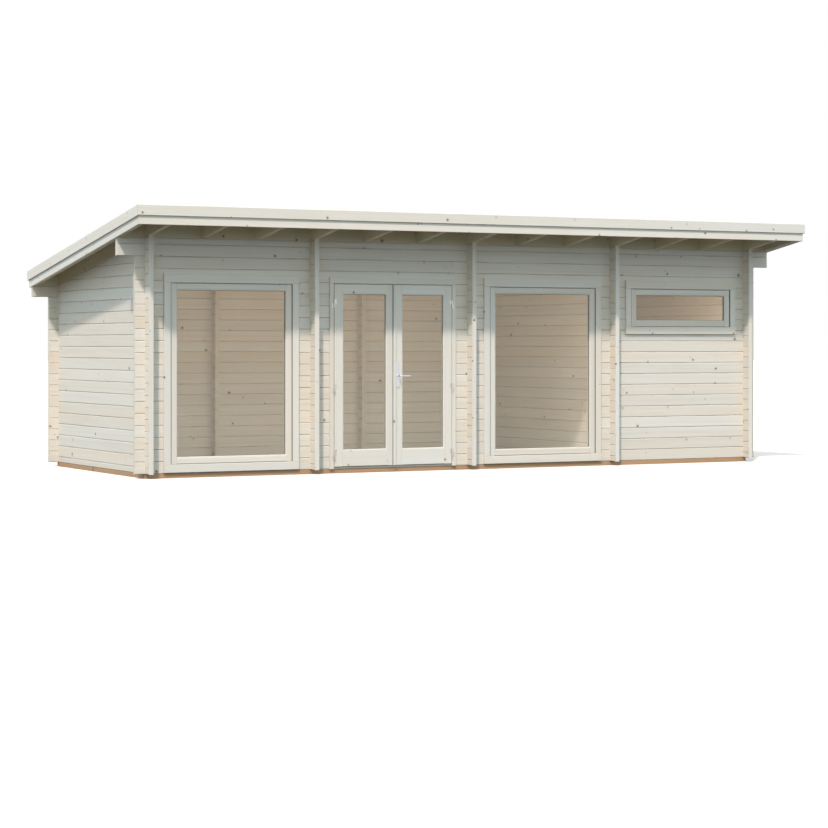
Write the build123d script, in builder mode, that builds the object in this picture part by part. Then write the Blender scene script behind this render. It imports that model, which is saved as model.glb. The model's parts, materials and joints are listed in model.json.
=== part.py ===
from build123d import *
import math
import os

# A garden office pod built of interlocking wall logs under a lean-to roof.
# +X runs to the right along the front, +Y to the back, +Z up. The origin is on the ground,
# at the middle of the whole outline. Sizes are in millimetres.

# Logs and walls
log_height = 114.0
log_thickness = 44.0
wall_length = 6915.0
wall_depth = 2523.0
log_end = 98.0
groove_depth = 3.0
groove_half_height = 3.0
courses_under_top_log = 18
top_log_height = 174.0
least_share_of_back_top_log = 0.75
end_board_thickness = 20.0

# Places of the cross walls, from the outside of the left wall to each log's middle
crossing_left_x = 1737.0
crossing_middle_x = 3486.0
partition_x = 5194.0

# Ground frame and floor
foundation_height = 44.0
foundation_width = 70.0
foundation_inset = 3.0
floor_thickness = 19.0

# Roof
roof_slope = 9.25
front_overhang = 630.0
back_overhang = 40.0
top_log_overhang = 276.0
rafter_width = 44.0
rafter_depth = 120.0
rafters_in_a_field = 3
deck_thickness = 18.0
covering_thickness = 4.0
eaves_board_thickness = 16.0
lower_board_height = 145.0
upper_board_height = 98.0
lower_board_drop = 7.0
upper_board_top = 168.0

# Windows: heads below the top log, the tall windows' sills above the bottom of the logs
tall_window_left_x = 888.0
tall_window_right_x = 4356.0
small_window_x = 6062.0
window_width = 1257.0
window_head_drop = 250.0
tall_window_sill = 89.0
small_window_height = 393.0
sash_width = 66.0
sash_proud = 8.0
casing_thickness = 20.0
casing_width = 68.0
head_casing_width = 86.0
bottom_casing_width = 78.0
casing_gap = 4.0
glass_thickness = 6.0
glass_setback = 14.0
glass_rebate = 8.0

# Double door
door_x = 2624.0
door_clear_width = 1320.0
door_head_drop = 235.0
jamb_thickness = 35.0
door_casing_lap = 7.0
door_head_casing_width = 62.0
threshold_height = 17.0
stop_width = 12.0
leaf_thickness = 44.0
leaf_gap = 6.0
stop_gap = 5.0
meeting_gap = 10.0
meeting_line_offset = -10.0
leaf_stile = 98.0
meeting_stile_left = 74.0
meeting_stile_right = 103.0
leaf_top_rail = 100.0
leaf_bottom_rail = 166.0
strip_width = 28.0
strip_thickness = 14.0
strip_lip = 2.0

# Hinges
hinge_pin_proud = 9.0
hinge_barrel_radius = 7.0
hinge_pin_radius = 4.0
hinge_running_gap = 0.1
hinge_end_gap = 0.3
hinge_half_height = 42.0
hinge_flap_width = 26.0
hinge_flap_thickness = 2.5
low_hinge_height = 133.0
middle_hinge_height = 789.0
high_hinge_drop = 197.0

# Door handle
handle_height = 909.0
handle_inset = 20.0
plate_width = 38.0
plate_height = 248.0
plate_thickness = 8.0
plate_below_handle = 116.0
lever_length = 118.0
lever_thickness = 14.0
lever_height = 18.0
lever_standoff = 46.0
spindle_radius = 8.0
spindle_running_gap = 0.1
spindle_hole_clearance = 1.5

# Places worked out from the sizes
left_x = -wall_length / 2
right_x = wall_length / 2
front_y = (front_overhang - log_end - wall_depth) / 2
back_y = front_y + wall_depth
log_zero = foundation_height
top_log_bottom_front = log_zero + courses_under_top_log * log_height
floor_top = log_zero + floor_thickness
slope = math.radians(roof_slope)
rise = math.tan(slope)
rafter_height = rafter_depth / math.cos(slope)
deck_height = deck_thickness / math.cos(slope)
covering_height = covering_thickness / math.cos(slope)
lower_front = front_y - front_overhang + eaves_board_thickness
roof_front = lower_front + eaves_board_thickness
lower_back = back_y + back_overhang - eaves_board_thickness
roof_back = lower_back - eaves_board_thickness
roof_left = left_x - top_log_overhang
roof_right = right_x + top_log_overhang
crossings = (left_x + crossing_left_x, left_x + crossing_middle_x)
partition_middle = left_x + partition_x
wall_lines = (
    left_x + log_thickness / 2,
    crossings[0],
    crossings[1],
    partition_middle,
    right_x - log_thickness / 2,
)
parts_folder = "parts"


def underside(y):
    """Height of the rafters' undersides at a place from front to back."""
    return top_log_bottom_front + top_log_height - rise * (y - front_y)


back_courses = (underside(back_y) - log_zero) / log_height - least_share_of_back_top_log
top_log_bottom_back = log_zero + math.floor(back_courses) * log_height
side_wall_top = underside(front_y - log_end - end_board_thickness)
log_joints_up_a_wall = math.ceil((side_wall_top - log_zero) / log_height)


def roof_plane(above):
    """The sloping plane that lies this far above the rafters' undersides."""
    return Plane(
        origin=(0, front_y, underside(front_y) + above),
        x_dir=(1, 0, 0),
        z_dir=(0, math.sin(slope), math.cos(slope)),
    )


def plane_along(y):
    """An upright plane that faces the front, with +X to the right."""
    return Plane(origin=(0, y, 0), x_dir=(1, 0, 0), z_dir=(0, -1, 0))


def front_joints():
    """Heights of the joints between the logs of the front and back walls."""
    return [log_zero + n * log_height for n in range(1, log_joints_up_a_wall + 1)]


def side_joints():
    """Heights of the joints between the logs of the side walls, half a log lower."""
    return [log_zero + (n - 0.5) * log_height for n in range(1, log_joints_up_a_wall + 2)]


def log_outline(near, far, bottom, top, joints):
    """Section through a wall of logs: a V groove on each face at each joint."""
    inside = [z for z in joints if bottom + groove_half_height < z < top - groove_half_height]
    points = [(near, bottom)]
    for z in inside:
        points += [
            (near, z - groove_half_height),
            (near + groove_depth, z),
            (near, z + groove_half_height),
        ]
    points += [(near, top), (far, top)]
    for z in reversed(inside):
        points += [
            (far, z + groove_half_height),
            (far - groove_depth, z),
            (far, z - groove_half_height),
        ]
    points.append((far, bottom))
    return points


def prism(plane, points, length, mode=Mode.ADD):
    """An outline on a plane, drawn out by a length, in the part that is open."""
    with BuildSketch(plane) as outline:
        with BuildLine():
            Polyline(*points, close=True)
        make_face()
    extrude(outline.sketch, amount=length, mode=mode)


def rod(plane, middle, radius, length, mode=Mode.ADD):
    """A round bar that starts on a plane, or the hole for one, in the part that is open."""
    with BuildSketch(plane) as end:
        with Locations(middle):
            Circle(radius)
    extrude(end.sketch, amount=length, mode=mode)


def block(x_range, y_range, z_range, mode=Mode.ADD):
    """A box between these limits, in the part that is open."""
    middle = [(low + high) / 2 for low, high in (x_range, y_range, z_range)]
    size = [high - low for low, high in (x_range, y_range, z_range)]
    with Locations(tuple(middle)):
        Box(*size, mode=mode)


def around(middle, width):
    """Limits of a width about its middle."""
    return (middle - width / 2, middle + width / 2)


def logs_along_x(x_range, y_range, z_range, joints):
    """Logs that run from left to right, in the part that is open."""
    outline = log_outline(*y_range, *z_range, joints)
    prism(Plane.YZ.offset(x_range[0]), outline, x_range[1] - x_range[0])


def logs_along_y(x_range, y_range, z_range, joints):
    """Logs that run from front to back, in the part that is open."""
    outline = log_outline(*x_range, *z_range, joints)
    prism(plane_along(y_range[0]), outline, y_range[0] - y_range[1])


def under_the_roof():
    """Cuts the open part off at the rafters' undersides."""
    split(bisect_by=roof_plane(0), keep=Keep.BOTTOM)


def save(piece, label):
    """Names a finished piece and writes it."""
    piece.part.label = label
    export_step(piece.part, os.path.join(parts_folder, label + ".step"))


os.makedirs(parts_folder, exist_ok=True)

front_wall_y = (front_y, front_y + log_thickness)
back_wall_y = (back_y - log_thickness, back_y)
front_end_y = (front_y - log_end, front_y)
back_end_y = (back_y, back_y + log_end)
front_wall_z = (log_zero, top_log_bottom_front)
room_y = (front_wall_y[1], back_wall_y[0])

# Ground frame: beams under the walls and joists between them
foundation_x = (left_x + foundation_inset, right_x - foundation_inset)
foundation_y = (front_y + foundation_inset, back_y - foundation_inset)
foundation_z = (0, foundation_height)


def field_lines():
    """Middles of the rafters and joists: on the cross walls, and evenly between them."""
    lines = [wall_lines[0]]
    for start, end in zip(wall_lines, wall_lines[1:]):
        step = (end - start) / rafters_in_a_field
        lines += [start + step * (n + 1) for n in range(rafters_in_a_field)]
    return lines


with BuildPart() as foundation_frame:
    block(foundation_x, foundation_y, foundation_z)
    for start, end in zip(field_lines(), field_lines()[1:]):
        gap_x = (
            max(start + log_thickness / 2, foundation_x[0] + foundation_width),
            min(end - log_thickness / 2, foundation_x[1] - foundation_width),
        )
        gap_y = (foundation_y[0] + foundation_width, foundation_y[1] - foundation_width)
        block(gap_x, gap_y, foundation_z, mode=Mode.SUBTRACT)
save(foundation_frame, "foundation_frame")

# Floor boards of the two rooms, between the walls
partition_faces = around(partition_middle, log_thickness)
floor_z = (log_zero, floor_top)
with BuildPart() as floor_boards:
    block((left_x + log_thickness, partition_faces[0]), room_y, floor_z)
    block((partition_faces[1], right_x - log_thickness), room_y, floor_z)
save(floor_boards, "floor_boards")

# Openings in the front wall
window_head = top_log_bottom_front - window_head_drop
tall_window_z = (log_zero + tall_window_sill, window_head)
small_window_z = (window_head - small_window_height, window_head)
windows = {
    "left_window": (around(left_x + tall_window_left_x, window_width), tall_window_z),
    "right_window": (around(left_x + tall_window_right_x, window_width), tall_window_z),
    "high_window": (around(left_x + small_window_x, window_width), small_window_z),
}
door_middle = left_x + door_x
door_clear_x = around(door_middle, door_clear_width)
door_opening_x = around(door_middle, door_clear_width + 2 * jamb_thickness)
door_clear_z = (log_zero, top_log_bottom_front - door_head_drop)
door_opening_top = door_clear_z[1] + jamb_thickness


def cut_window(name):
    """Cuts a window's opening through the wall that is open."""
    x_range, z_range = windows[name]
    block(x_range, front_wall_y, z_range, mode=Mode.SUBTRACT)


with BuildPart() as front_wall_left:
    logs_along_x((left_x - log_end, door_opening_x[0]), front_wall_y, front_wall_z, front_joints())
    cut_window("left_window")
save(front_wall_left, "front_wall_left")

with BuildPart() as front_wall_right:
    logs_along_x((door_opening_x[1], right_x + log_end), front_wall_y, front_wall_z, front_joints())
    cut_window("right_window")
    cut_window("high_window")
save(front_wall_right, "front_wall_right")

with BuildPart() as front_wall_over_door:
    over_door_z = (door_opening_top, top_log_bottom_front)
    logs_along_x(door_opening_x, front_wall_y, over_door_z, front_joints())
save(front_wall_over_door, "front_wall_over_door")

# Top logs of the front and back walls run on past the corners and carry the verges
with BuildPart() as front_top_log:
    top_log_front_z = (top_log_bottom_front, underside(front_y))
    logs_along_x((roof_left, roof_right), front_wall_y, top_log_front_z, front_joints())
    under_the_roof()
save(front_top_log, "front_top_log")

with BuildPart() as back_wall:
    back_wall_z = (log_zero, top_log_bottom_back)
    logs_along_x((left_x - log_end, right_x + log_end), back_wall_y, back_wall_z, front_joints())
save(back_wall, "back_wall")

with BuildPart() as back_top_log:
    top_log_back_z = (top_log_bottom_back, underside(back_wall_y[0]))
    logs_along_x((roof_left, roof_right), back_wall_y, top_log_back_z, front_joints())
    under_the_roof()
save(back_top_log, "back_top_log")

# Ends of the back's logs stop under the eaves board
back_end_top = underside(roof_back) - lower_board_drop


def cross_wall(middle):
    """Side wall or partition, with the ends of its logs outside the front and back walls."""
    x_range = around(middle, log_thickness)
    logs_along_y(x_range, room_y, (log_zero, side_wall_top), side_joints())
    logs_along_y(x_range, front_end_y, (log_zero, side_wall_top), side_joints())
    logs_along_y(x_range, back_end_y, (log_zero, back_end_top), side_joints())
    under_the_roof()


for label, middle in (
    ("left_wall", wall_lines[0]),
    ("partition_wall", partition_middle),
    ("right_wall", wall_lines[-1]),
):
    with BuildPart() as wall:
        cross_wall(middle)
    save(wall, label)

# Short log crossings that stiffen the long walls, outside and inside
with BuildPart() as front_crossings:
    for middle in crossings:
        x_range = around(middle, log_thickness)
        inside_y = (room_y[0], room_y[0] + log_end)
        logs_along_y(x_range, front_end_y, (log_zero, side_wall_top), side_joints())
        logs_along_y(x_range, inside_y, (floor_top, side_wall_top), side_joints())
    under_the_roof()
save(front_crossings, "front_crossings")

with BuildPart() as back_crossings:
    for middle in crossings:
        x_range = around(middle, log_thickness)
        inside_y = (room_y[1] - log_end, room_y[1])
        logs_along_y(x_range, back_end_y, (log_zero, back_end_top), side_joints())
        logs_along_y(x_range, inside_y, (floor_top, side_wall_top), side_joints())
    under_the_roof()
save(back_crossings, "back_crossings")

# Cover boards on the ends of the front's crossing logs
with BuildPart() as log_end_boards:
    board_y = (front_end_y[0] - end_board_thickness, front_end_y[0])
    for middle in wall_lines:
        block(around(middle, log_thickness), board_y, (log_zero, side_wall_top))
    under_the_roof()
save(log_end_boards, "log_end_boards")


def sloping_piece(x_range, y_range, low, high):
    """A piece that follows the roof, between two heights above the rafters' undersides."""
    start, end = y_range
    outline = [
        (start, underside(start) + low),
        (end, underside(end) + low),
        (end, underside(end) + high),
        (start, underside(start) + high),
    ]
    prism(Plane.YZ.offset(x_range[0]), outline, x_range[1] - x_range[0])


roof_y = (roof_front, roof_back)
verge_rafters = (roof_left + rafter_width / 2, roof_right - rafter_width / 2)
rafter_lines = [verge_rafters[0], *field_lines(), verge_rafters[1]]
with BuildPart() as rafters:
    for middle in rafter_lines:
        sloping_piece(around(middle, rafter_width), roof_y, 0, rafter_height)
save(rafters, "rafters")


# Filling pieces between the rafters, on top of the front and back walls
with BuildPart() as eaves_filling:
    for start, end in zip(rafter_lines, rafter_lines[1:]):
        x_range = (start + rafter_width / 2, end - rafter_width / 2)
        for y_range in (front_wall_y, back_wall_y):
            sloping_piece(x_range, y_range, 0, rafter_height)
save(eaves_filling, "eaves_filling")

deck_top = rafter_height + deck_height
with BuildPart() as roof_boards:
    sloping_piece((roof_left, roof_right), roof_y, rafter_height, deck_top)
save(roof_boards, "roof_boards")

with BuildPart() as roof_covering:
    sloping_piece((roof_left, roof_right), roof_y, deck_top, deck_top + covering_height)
save(roof_covering, "roof_covering")

# Eaves boards: a lower board on the rafter ends, and an upper one that stands proud of it
lower_x = (roof_left - eaves_board_thickness, roof_right + eaves_board_thickness)
upper_x = (lower_x[0] - eaves_board_thickness, lower_x[1] + eaves_board_thickness)
upper_front = lower_front - eaves_board_thickness
upper_back = lower_back + eaves_board_thickness


def level_board(x_range, y_range, bottom, height):
    """An eaves board that runs level along the front or the back."""
    block(x_range, y_range, (bottom, bottom + height))


upper_low = upper_board_top - upper_board_height
with BuildPart() as front_lower_board:
    front_low = underside(roof_front) - lower_board_drop
    level_board(lower_x, (lower_front, roof_front), front_low, lower_board_height)
save(front_lower_board, "front_lower_board")

with BuildPart() as front_upper_board:
    front_high = underside(upper_front) + upper_low
    level_board(upper_x, (upper_front, lower_front), front_high, upper_board_height)
save(front_upper_board, "front_upper_board")

with BuildPart() as back_lower_board:
    back_low = underside(roof_back) - lower_board_drop
    level_board(lower_x, (roof_back, lower_back), back_low, lower_board_height)
save(back_lower_board, "back_lower_board")

with BuildPart() as back_upper_board:
    back_high = underside(upper_back) + upper_low
    level_board(upper_x, (lower_back, upper_back), back_high, upper_board_height)
save(back_upper_board, "back_upper_board")

# Verge boards on the two sloping edges of the roof, again a lower and an upper one
with BuildPart() as lower_verges:
    lower_low = -lower_board_drop
    for x_range in ((lower_x[0], roof_left), (roof_right, lower_x[1])):
        sloping_piece(x_range, roof_y, lower_low, lower_low + lower_board_height)
save(lower_verges, "lower_verges")

with BuildPart() as upper_verges:
    for x_range in ((upper_x[0], lower_x[0]), (lower_x[1], upper_x[1])):
        sloping_piece(x_range, (lower_front, lower_back), upper_low, upper_board_top)
save(upper_verges, "upper_verges")

# Fixed windows: outside casing, sash and glass
casing_y = (front_y - casing_thickness, front_y)
sash_y = (front_y - sash_proud, front_wall_y[1])
window_glass_y = (
    sash_y[0] + glass_setback,
    sash_y[0] + glass_setback + glass_thickness,
)


def frame_of_boards(outer_x, outer_z, inner_x, inner_z, y_range):
    """A closed frame between an outer and an inner outline."""
    block(outer_x, y_range, outer_z)
    block(inner_x, y_range, inner_z, mode=Mode.SUBTRACT)


def grown(limits, low, high):
    """Limits moved outwards at each end."""
    return (limits[0] - low, limits[1] + high)


for name, (sash_x, sash_z) in windows.items():
    inner_x = grown(sash_x, casing_gap, casing_gap)
    inner_z = grown(sash_z, casing_gap, casing_gap)
    outer_x = grown(inner_x, casing_width, casing_width)
    outer_z = grown(inner_z, bottom_casing_width, head_casing_width)
    light_x = grown(sash_x, -sash_width, -sash_width)
    light_z = grown(sash_z, -sash_width, -sash_width)
    with BuildPart() as casing:
        frame_of_boards(outer_x, outer_z, inner_x, inner_z, casing_y)
    save(casing, name + "_casing")
    with BuildPart() as sash:
        frame_of_boards(sash_x, sash_z, light_x, light_z, sash_y)
        rebate_x = grown(light_x, glass_rebate, glass_rebate)
        rebate_z = grown(light_z, glass_rebate, glass_rebate)
        block(rebate_x, window_glass_y, rebate_z, mode=Mode.SUBTRACT)
    save(sash, name + "_sash")

with BuildPart() as window_glass:
    glass_edge = sash_width - glass_rebate
    for sash_x, sash_z in windows.values():
        glass_x = grown(sash_x, -glass_edge, -glass_edge)
        glass_z = grown(sash_z, -glass_edge, -glass_edge)
        block(glass_x, window_glass_y, glass_z)
save(window_glass, "window_glass")

# Door frame: two jambs and a head in the wall's opening, with stops behind the leaves
leaf_y = (front_y - casing_thickness, front_y - casing_thickness + leaf_thickness)
stop_y = (leaf_y[1] + stop_gap, front_wall_y[1])
with BuildPart() as door_frame:
    block(door_opening_x, front_wall_y, (log_zero, door_opening_top))
    block(door_clear_x, front_wall_y, door_clear_z, mode=Mode.SUBTRACT)
    block((door_clear_x[0], door_clear_x[0] + stop_width), stop_y, door_clear_z)
    block((door_clear_x[1] - stop_width, door_clear_x[1]), stop_y, door_clear_z)
    block(door_clear_x, stop_y, (door_clear_z[1] - stop_width, door_clear_z[1]))
save(door_frame, "door_frame")

with BuildPart() as door_casing:
    casing_x = grown(door_opening_x, door_casing_lap, door_casing_lap)
    casing_z = (log_zero, door_clear_z[1] + door_head_casing_width)
    block(casing_x, casing_y, casing_z)
    block(door_clear_x, casing_y, door_clear_z, mode=Mode.SUBTRACT)
save(door_casing, "door_casing")

with BuildPart() as door_threshold:
    threshold_x = (door_clear_x[0] + stop_width, door_clear_x[1] - stop_width)
    block(door_clear_x, (front_wall_y[0], stop_y[0]), (log_zero, log_zero + threshold_height))
    block(threshold_x, stop_y, (log_zero, log_zero + threshold_height))
save(door_threshold, "door_threshold")

# Door leaves: stiles and rails around one pane each
meeting_middle = door_middle + meeting_line_offset
leaf_z = (log_zero + threshold_height + leaf_gap, door_clear_z[1] - leaf_gap)
left_leaf_x = (door_clear_x[0] + leaf_gap, meeting_middle - meeting_gap / 2)
right_leaf_x = (meeting_middle + meeting_gap / 2, door_clear_x[1] - leaf_gap)
left_pane_x = (left_leaf_x[0] + leaf_stile, left_leaf_x[1] - meeting_stile_left)
right_pane_x = (right_leaf_x[0] + meeting_stile_right, right_leaf_x[1] - leaf_stile)
pane_z = (leaf_z[0] + leaf_bottom_rail, leaf_z[1] - leaf_top_rail)
pane_y = (leaf_y[0] + glass_setback, leaf_y[0] + glass_setback + glass_thickness)
strip_x = (right_leaf_x[0] - strip_lip, right_leaf_x[0] - strip_lip + strip_width)
spindle_x = strip_x[1] + handle_inset
spindle_z = log_zero + handle_height
spindle_place = (spindle_x, spindle_z)


def leaf_body(leaf_x, pane_x):
    """A door leaf with its glazed opening and the rebate that holds the pane."""
    frame_of_boards(leaf_x, leaf_z, pane_x, pane_z, leaf_y)
    rebate_x = grown(pane_x, glass_rebate, glass_rebate)
    rebate_z = grown(pane_z, glass_rebate, glass_rebate)
    block(rebate_x, pane_y, rebate_z, mode=Mode.SUBTRACT)


def pane(pane_x):
    """The glass of a door leaf."""
    glass_z = grown(pane_z, glass_rebate, glass_rebate)
    block(grown(pane_x, glass_rebate, glass_rebate), pane_y, glass_z)


with BuildPart() as left_leaf:
    leaf_body(left_leaf_x, left_pane_x)
save(left_leaf, "left_leaf")

with BuildPart() as left_leaf_glass:
    pane(left_pane_x)
save(left_leaf_glass, "left_leaf_glass")

with BuildPart() as right_leaf:
    leaf_body(right_leaf_x, right_pane_x)
    hole_radius = spindle_radius + spindle_hole_clearance
    rod(plane_along(leaf_y[0]), spindle_place, hole_radius, -leaf_thickness, Mode.SUBTRACT)
save(right_leaf, "right_leaf")

with BuildPart() as right_leaf_glass:
    pane(right_pane_x)
save(right_leaf_glass, "right_leaf_glass")

with BuildPart() as meeting_strip:
    block(strip_x, (leaf_y[0] - strip_thickness, leaf_y[0]), leaf_z)
save(meeting_strip, "meeting_strip")

# Handle: a plate on each face of the leaf, and a lever on each side of one spindle
plate_z = (
    spindle_z - plate_below_handle,
    spindle_z - plate_below_handle + plate_height,
)
outer_plate_y = (leaf_y[0] - plate_thickness, leaf_y[0])
inner_plate_y = (leaf_y[1], leaf_y[1] + plate_thickness)
with BuildPart() as handle_plates:
    for y_range in (outer_plate_y, inner_plate_y):
        block(around(spindle_x, plate_width), y_range, plate_z)
    bore_radius = spindle_radius + spindle_running_gap
    bore_length = inner_plate_y[1] - outer_plate_y[0]
    bore_plane = plane_along(outer_plate_y[0])
    rod(bore_plane, spindle_place, bore_radius, -bore_length, Mode.SUBTRACT)
save(handle_plates, "handle_plates")

with BuildPart() as lever_handle:
    spindle_front = outer_plate_y[0] - lever_standoff
    spindle_back = inner_plate_y[1] + lever_standoff
    spindle_length = spindle_back - spindle_front
    rod(plane_along(spindle_front), spindle_place, spindle_radius, -spindle_length)
    lever_x = (spindle_x - lever_height / 2, spindle_x + lever_length)
    lever_z = around(spindle_z, lever_height)
    block(lever_x, (spindle_front - lever_thickness, spindle_front), lever_z)
    block(lever_x, (spindle_back, spindle_back + lever_thickness), lever_z)
save(lever_handle, "lever_handle")

# Hinges: the lower half and its pin belong to the frame, the upper half to the leaf
hinge_y = leaf_y[0] - hinge_pin_proud
left_pin_x = (door_clear_x[0] + left_leaf_x[0]) / 2
right_pin_x = (door_clear_x[1] + right_leaf_x[1]) / 2
flap_y = (leaf_y[0] - hinge_flap_thickness, leaf_y[0])


def barrel(x, bottom, height, radius, mode=Mode.ADD):
    """An upright round piece on a hinge's line."""
    rod(Plane.XY.offset(bottom), (x, hinge_y), radius, height, mode)


def frame_hinge_half(x, outward, middle):
    """Flap on the casing, lower barrel, and the pin that stands in the upper one."""
    bottom = middle - hinge_half_height
    flap_x = sorted((x, x + outward * hinge_flap_width))
    bend_x = sorted((x, x + outward * hinge_pin_radius))
    barrel(x, bottom, hinge_half_height, hinge_barrel_radius)
    block(flap_x, flap_y, (bottom, middle))
    block(bend_x, (hinge_y, flap_y[1]), (bottom, middle))
    barrel(x, bottom, 2 * hinge_half_height, hinge_pin_radius)


def leaf_hinge_half(x, inward, middle):
    """Flap on the leaf and the upper barrel that turns on the pin."""
    bottom = middle + hinge_end_gap
    top = middle + hinge_half_height
    flap_x = sorted((x, x + inward * hinge_flap_width))
    bend_x = sorted((x, x + inward * hinge_pin_radius))
    barrel(x, bottom, top - bottom, hinge_barrel_radius)
    block(flap_x, flap_y, (bottom, top))
    block(bend_x, (hinge_y, flap_y[1]), (bottom, top))
    bore_radius = hinge_pin_radius + hinge_running_gap
    barrel(x, bottom, top - bottom, bore_radius, mode=Mode.SUBTRACT)


hinge_middles = (
    log_zero + low_hinge_height,
    log_zero + middle_hinge_height,
    door_clear_z[1] - high_hinge_drop,
)
with BuildPart() as frame_hinges:
    for middle in hinge_middles:
        frame_hinge_half(left_pin_x, -1, middle)
        frame_hinge_half(right_pin_x, 1, middle)
save(frame_hinges, "frame_hinges")

with BuildPart() as left_leaf_hinges:
    for middle in hinge_middles:
        leaf_hinge_half(left_pin_x, 1, middle)
save(left_leaf_hinges, "left_leaf_hinges")

with BuildPart() as right_leaf_hinges:
    for middle in hinge_middles:
        leaf_hinge_half(right_pin_x, -1, middle)
save(right_leaf_hinges, "right_leaf_hinges")
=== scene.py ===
"""Dresses the garden office: every log and board, glass, metalwork, light and the camera.

Lengths are in metres.
"""
import json
import math

import bmesh
import bpy
import numpy as np
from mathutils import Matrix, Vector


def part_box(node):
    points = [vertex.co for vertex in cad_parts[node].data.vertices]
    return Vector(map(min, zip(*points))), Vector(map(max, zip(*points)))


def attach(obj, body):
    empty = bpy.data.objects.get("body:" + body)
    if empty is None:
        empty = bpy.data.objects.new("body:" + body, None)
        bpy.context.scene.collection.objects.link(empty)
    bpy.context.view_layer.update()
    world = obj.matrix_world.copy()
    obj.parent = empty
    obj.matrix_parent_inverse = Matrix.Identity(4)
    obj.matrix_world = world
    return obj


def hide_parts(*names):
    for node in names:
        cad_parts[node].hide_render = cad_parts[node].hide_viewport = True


bl_info = {
    "name": "Garden Office",
    "version": (1, 0, 0),
    "blender": (4, 5, 0),
    "location": "View3D > Sidebar > Garden Office",
    "description": "Logs, boards, glazing and metalwork of a garden office on its packed frame",
    "category": "Object",
}

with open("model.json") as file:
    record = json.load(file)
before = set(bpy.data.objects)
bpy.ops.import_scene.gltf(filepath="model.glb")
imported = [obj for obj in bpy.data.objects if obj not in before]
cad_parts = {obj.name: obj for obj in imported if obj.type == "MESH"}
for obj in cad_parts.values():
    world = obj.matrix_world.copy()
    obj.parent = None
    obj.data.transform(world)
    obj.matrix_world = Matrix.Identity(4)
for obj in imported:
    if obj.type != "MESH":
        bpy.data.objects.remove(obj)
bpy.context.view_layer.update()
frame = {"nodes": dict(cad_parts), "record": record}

CABIN, LEFT_LEAF, RIGHT_LEAF, LEVER = "cabin", "left_leaf", "right_leaf", "lever"
X, Y, Z = range(3)
TURN = 2 * math.pi
QUARTER = math.pi / 2


def low(node):
    """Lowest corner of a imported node."""
    return np.array(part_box(node)[0])


def high(node):
    """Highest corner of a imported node."""
    return np.array(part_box(node)[1])


def span(node, axis):
    """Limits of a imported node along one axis."""
    return low(node)[axis], high(node)[axis]


def limits(node):
    """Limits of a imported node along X, Y and Z."""
    return [span(node, axis) for axis in (X, Y, Z)]


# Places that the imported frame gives
FRONT_Y, FRONT_INNER_Y = span("front_wall_left", Y)
BACK_INNER_Y, BACK_Y = span("back_wall", Y)
STUB_FRONT_Y, STUB_BACK_Y = span("left_wall", Y)
LOG_THICKNESS = FRONT_INNER_Y - FRONT_Y
LOG_ZERO = low("front_wall_left")[Z]
FLOOR_TOP = high("floor_boards")[Z]
UNDERSIDE_FRONT = high("front_top_log")[Z]

# Logs
COURSES = 40  # more than any wall has
SLIVER = 0.04  # share of a log under which a course is joined to its neighbour
THINNEST_CUT = 0.005  # least height of the strip of a log beside an opening
THINNEST_RUN = 0.004  # least height or length of a cross log under the roof
SHORTEST_LOG = 0.001

# Edges of planed boards and felt: the points to a quarter circle, and its radius
EDGE_STEPS, TRIM_STEPS = 2, 3
ROUNDEST = 0.9  # largest share of half a board that its edges may take
NEAR = 1e-6
SASH_EASE = 0.004
TRIM_EASE = 0.003
PLANK_EASE = 0.002
FILLING_EASE = 0.0015
FLOOR_EASE = 0.001
UPSTAND_EASE = 0.0005
FELT_EASE = 0.0004

# Roof
FELT_SHEET = 0.93  # cover width
FELT_LAP = 0.05
FELT_PLY = 0.58  # one sheet's share of the thickness of two that lap
FELT_UPSTAND = 0.017
FELT_WALL = 0.0025  # thickness of the upstand
NAIL_SPACING = 0.11
NAIL_INSET = 0.03  # from a lap's edge
NAIL_START = 0.05  # from the eaves
EAVES_JOINT = 0.0006  # half the gap between two eaves boards

# Windows and door
BEAD_ROUNDING = 0.7  # share of a bead's width that is rounded
BEAD_STEPS = 5
MEETING_SEAL = (0.005, 0.012, 0.005)  # width, depth and setback behind the leaf's face

# Metalwork. Each profile gives radius and height, or height and size, of one step after another.
HINGE_CAP = (
    (0.0068, 0.0), (0.0067, 0.0010), (0.0058, 0.0024), (0.0038, 0.0036), (0.0010, 0.0041)
)
UPRIGHT = 0.9  # share of an axis along Z from which it counts as upright
TURNED_STEPS, NAIL_STEPS, COLLAR_STEPS, CORNER_STEPS = 16, 8, 32, 6
LOWER_CAP, UPPER_CAP = 1.0, 0.8  # size of the caps below and above a hinge
NAIL_HEAD = ((0.0050, 0.0), (0.0048, 0.0008), (0.0030, 0.0013), (0.0006, 0.0014))
SCREW_HEAD = ((1.0, 0.0), (0.93, 0.20), (0.70, 0.36), (0.45, 0.42), (0.36, 0.22), (0.05, 0.20))
HINGE_SCREW, PLATE_SCREW = 0.0034, 0.0038
HINGE_SCREWS_AT = (0.3, 0.72)  # shares of half a hinge
PLATE_SCREW_INSET = 0.011
PLATE_CORNER = 0.009
PLATE_EDGE = ((0.0, 1.0), (0.62, 1.0), (0.82, 0.985), (0.95, 0.955), (1.0, 0.90))
COLLAR_RADIUS = 0.0135
COLLAR_EDGE = ((1.0, 1.0), (1.35, 0.97), (1.5, 0.85))
KEYHOLE = (0.0048, 0.0135, 0.0047)  # half width, half height and corner of its cover
KEYHOLE_EDGE = ((1.0, 1.0), (1.35, 1.0), (1.5, 0.9))
KEYHOLE_DROP = 0.092  # below the spindle
LEVER_BEND = 0.014
NECK_STEPS, BEND_STEPS, GRIP_STEPS = 5, 9, 10
GRIP = (0.0062, 0.0085, 0.0058)  # half depth, half height and corner
GRIP_SETBACK = 0.007  # from the grip's middle line to its packed face
GRIP_END = (0.93, 0.7)  # size of the last two steps
TIP_SETBACK = 0.001

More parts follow.
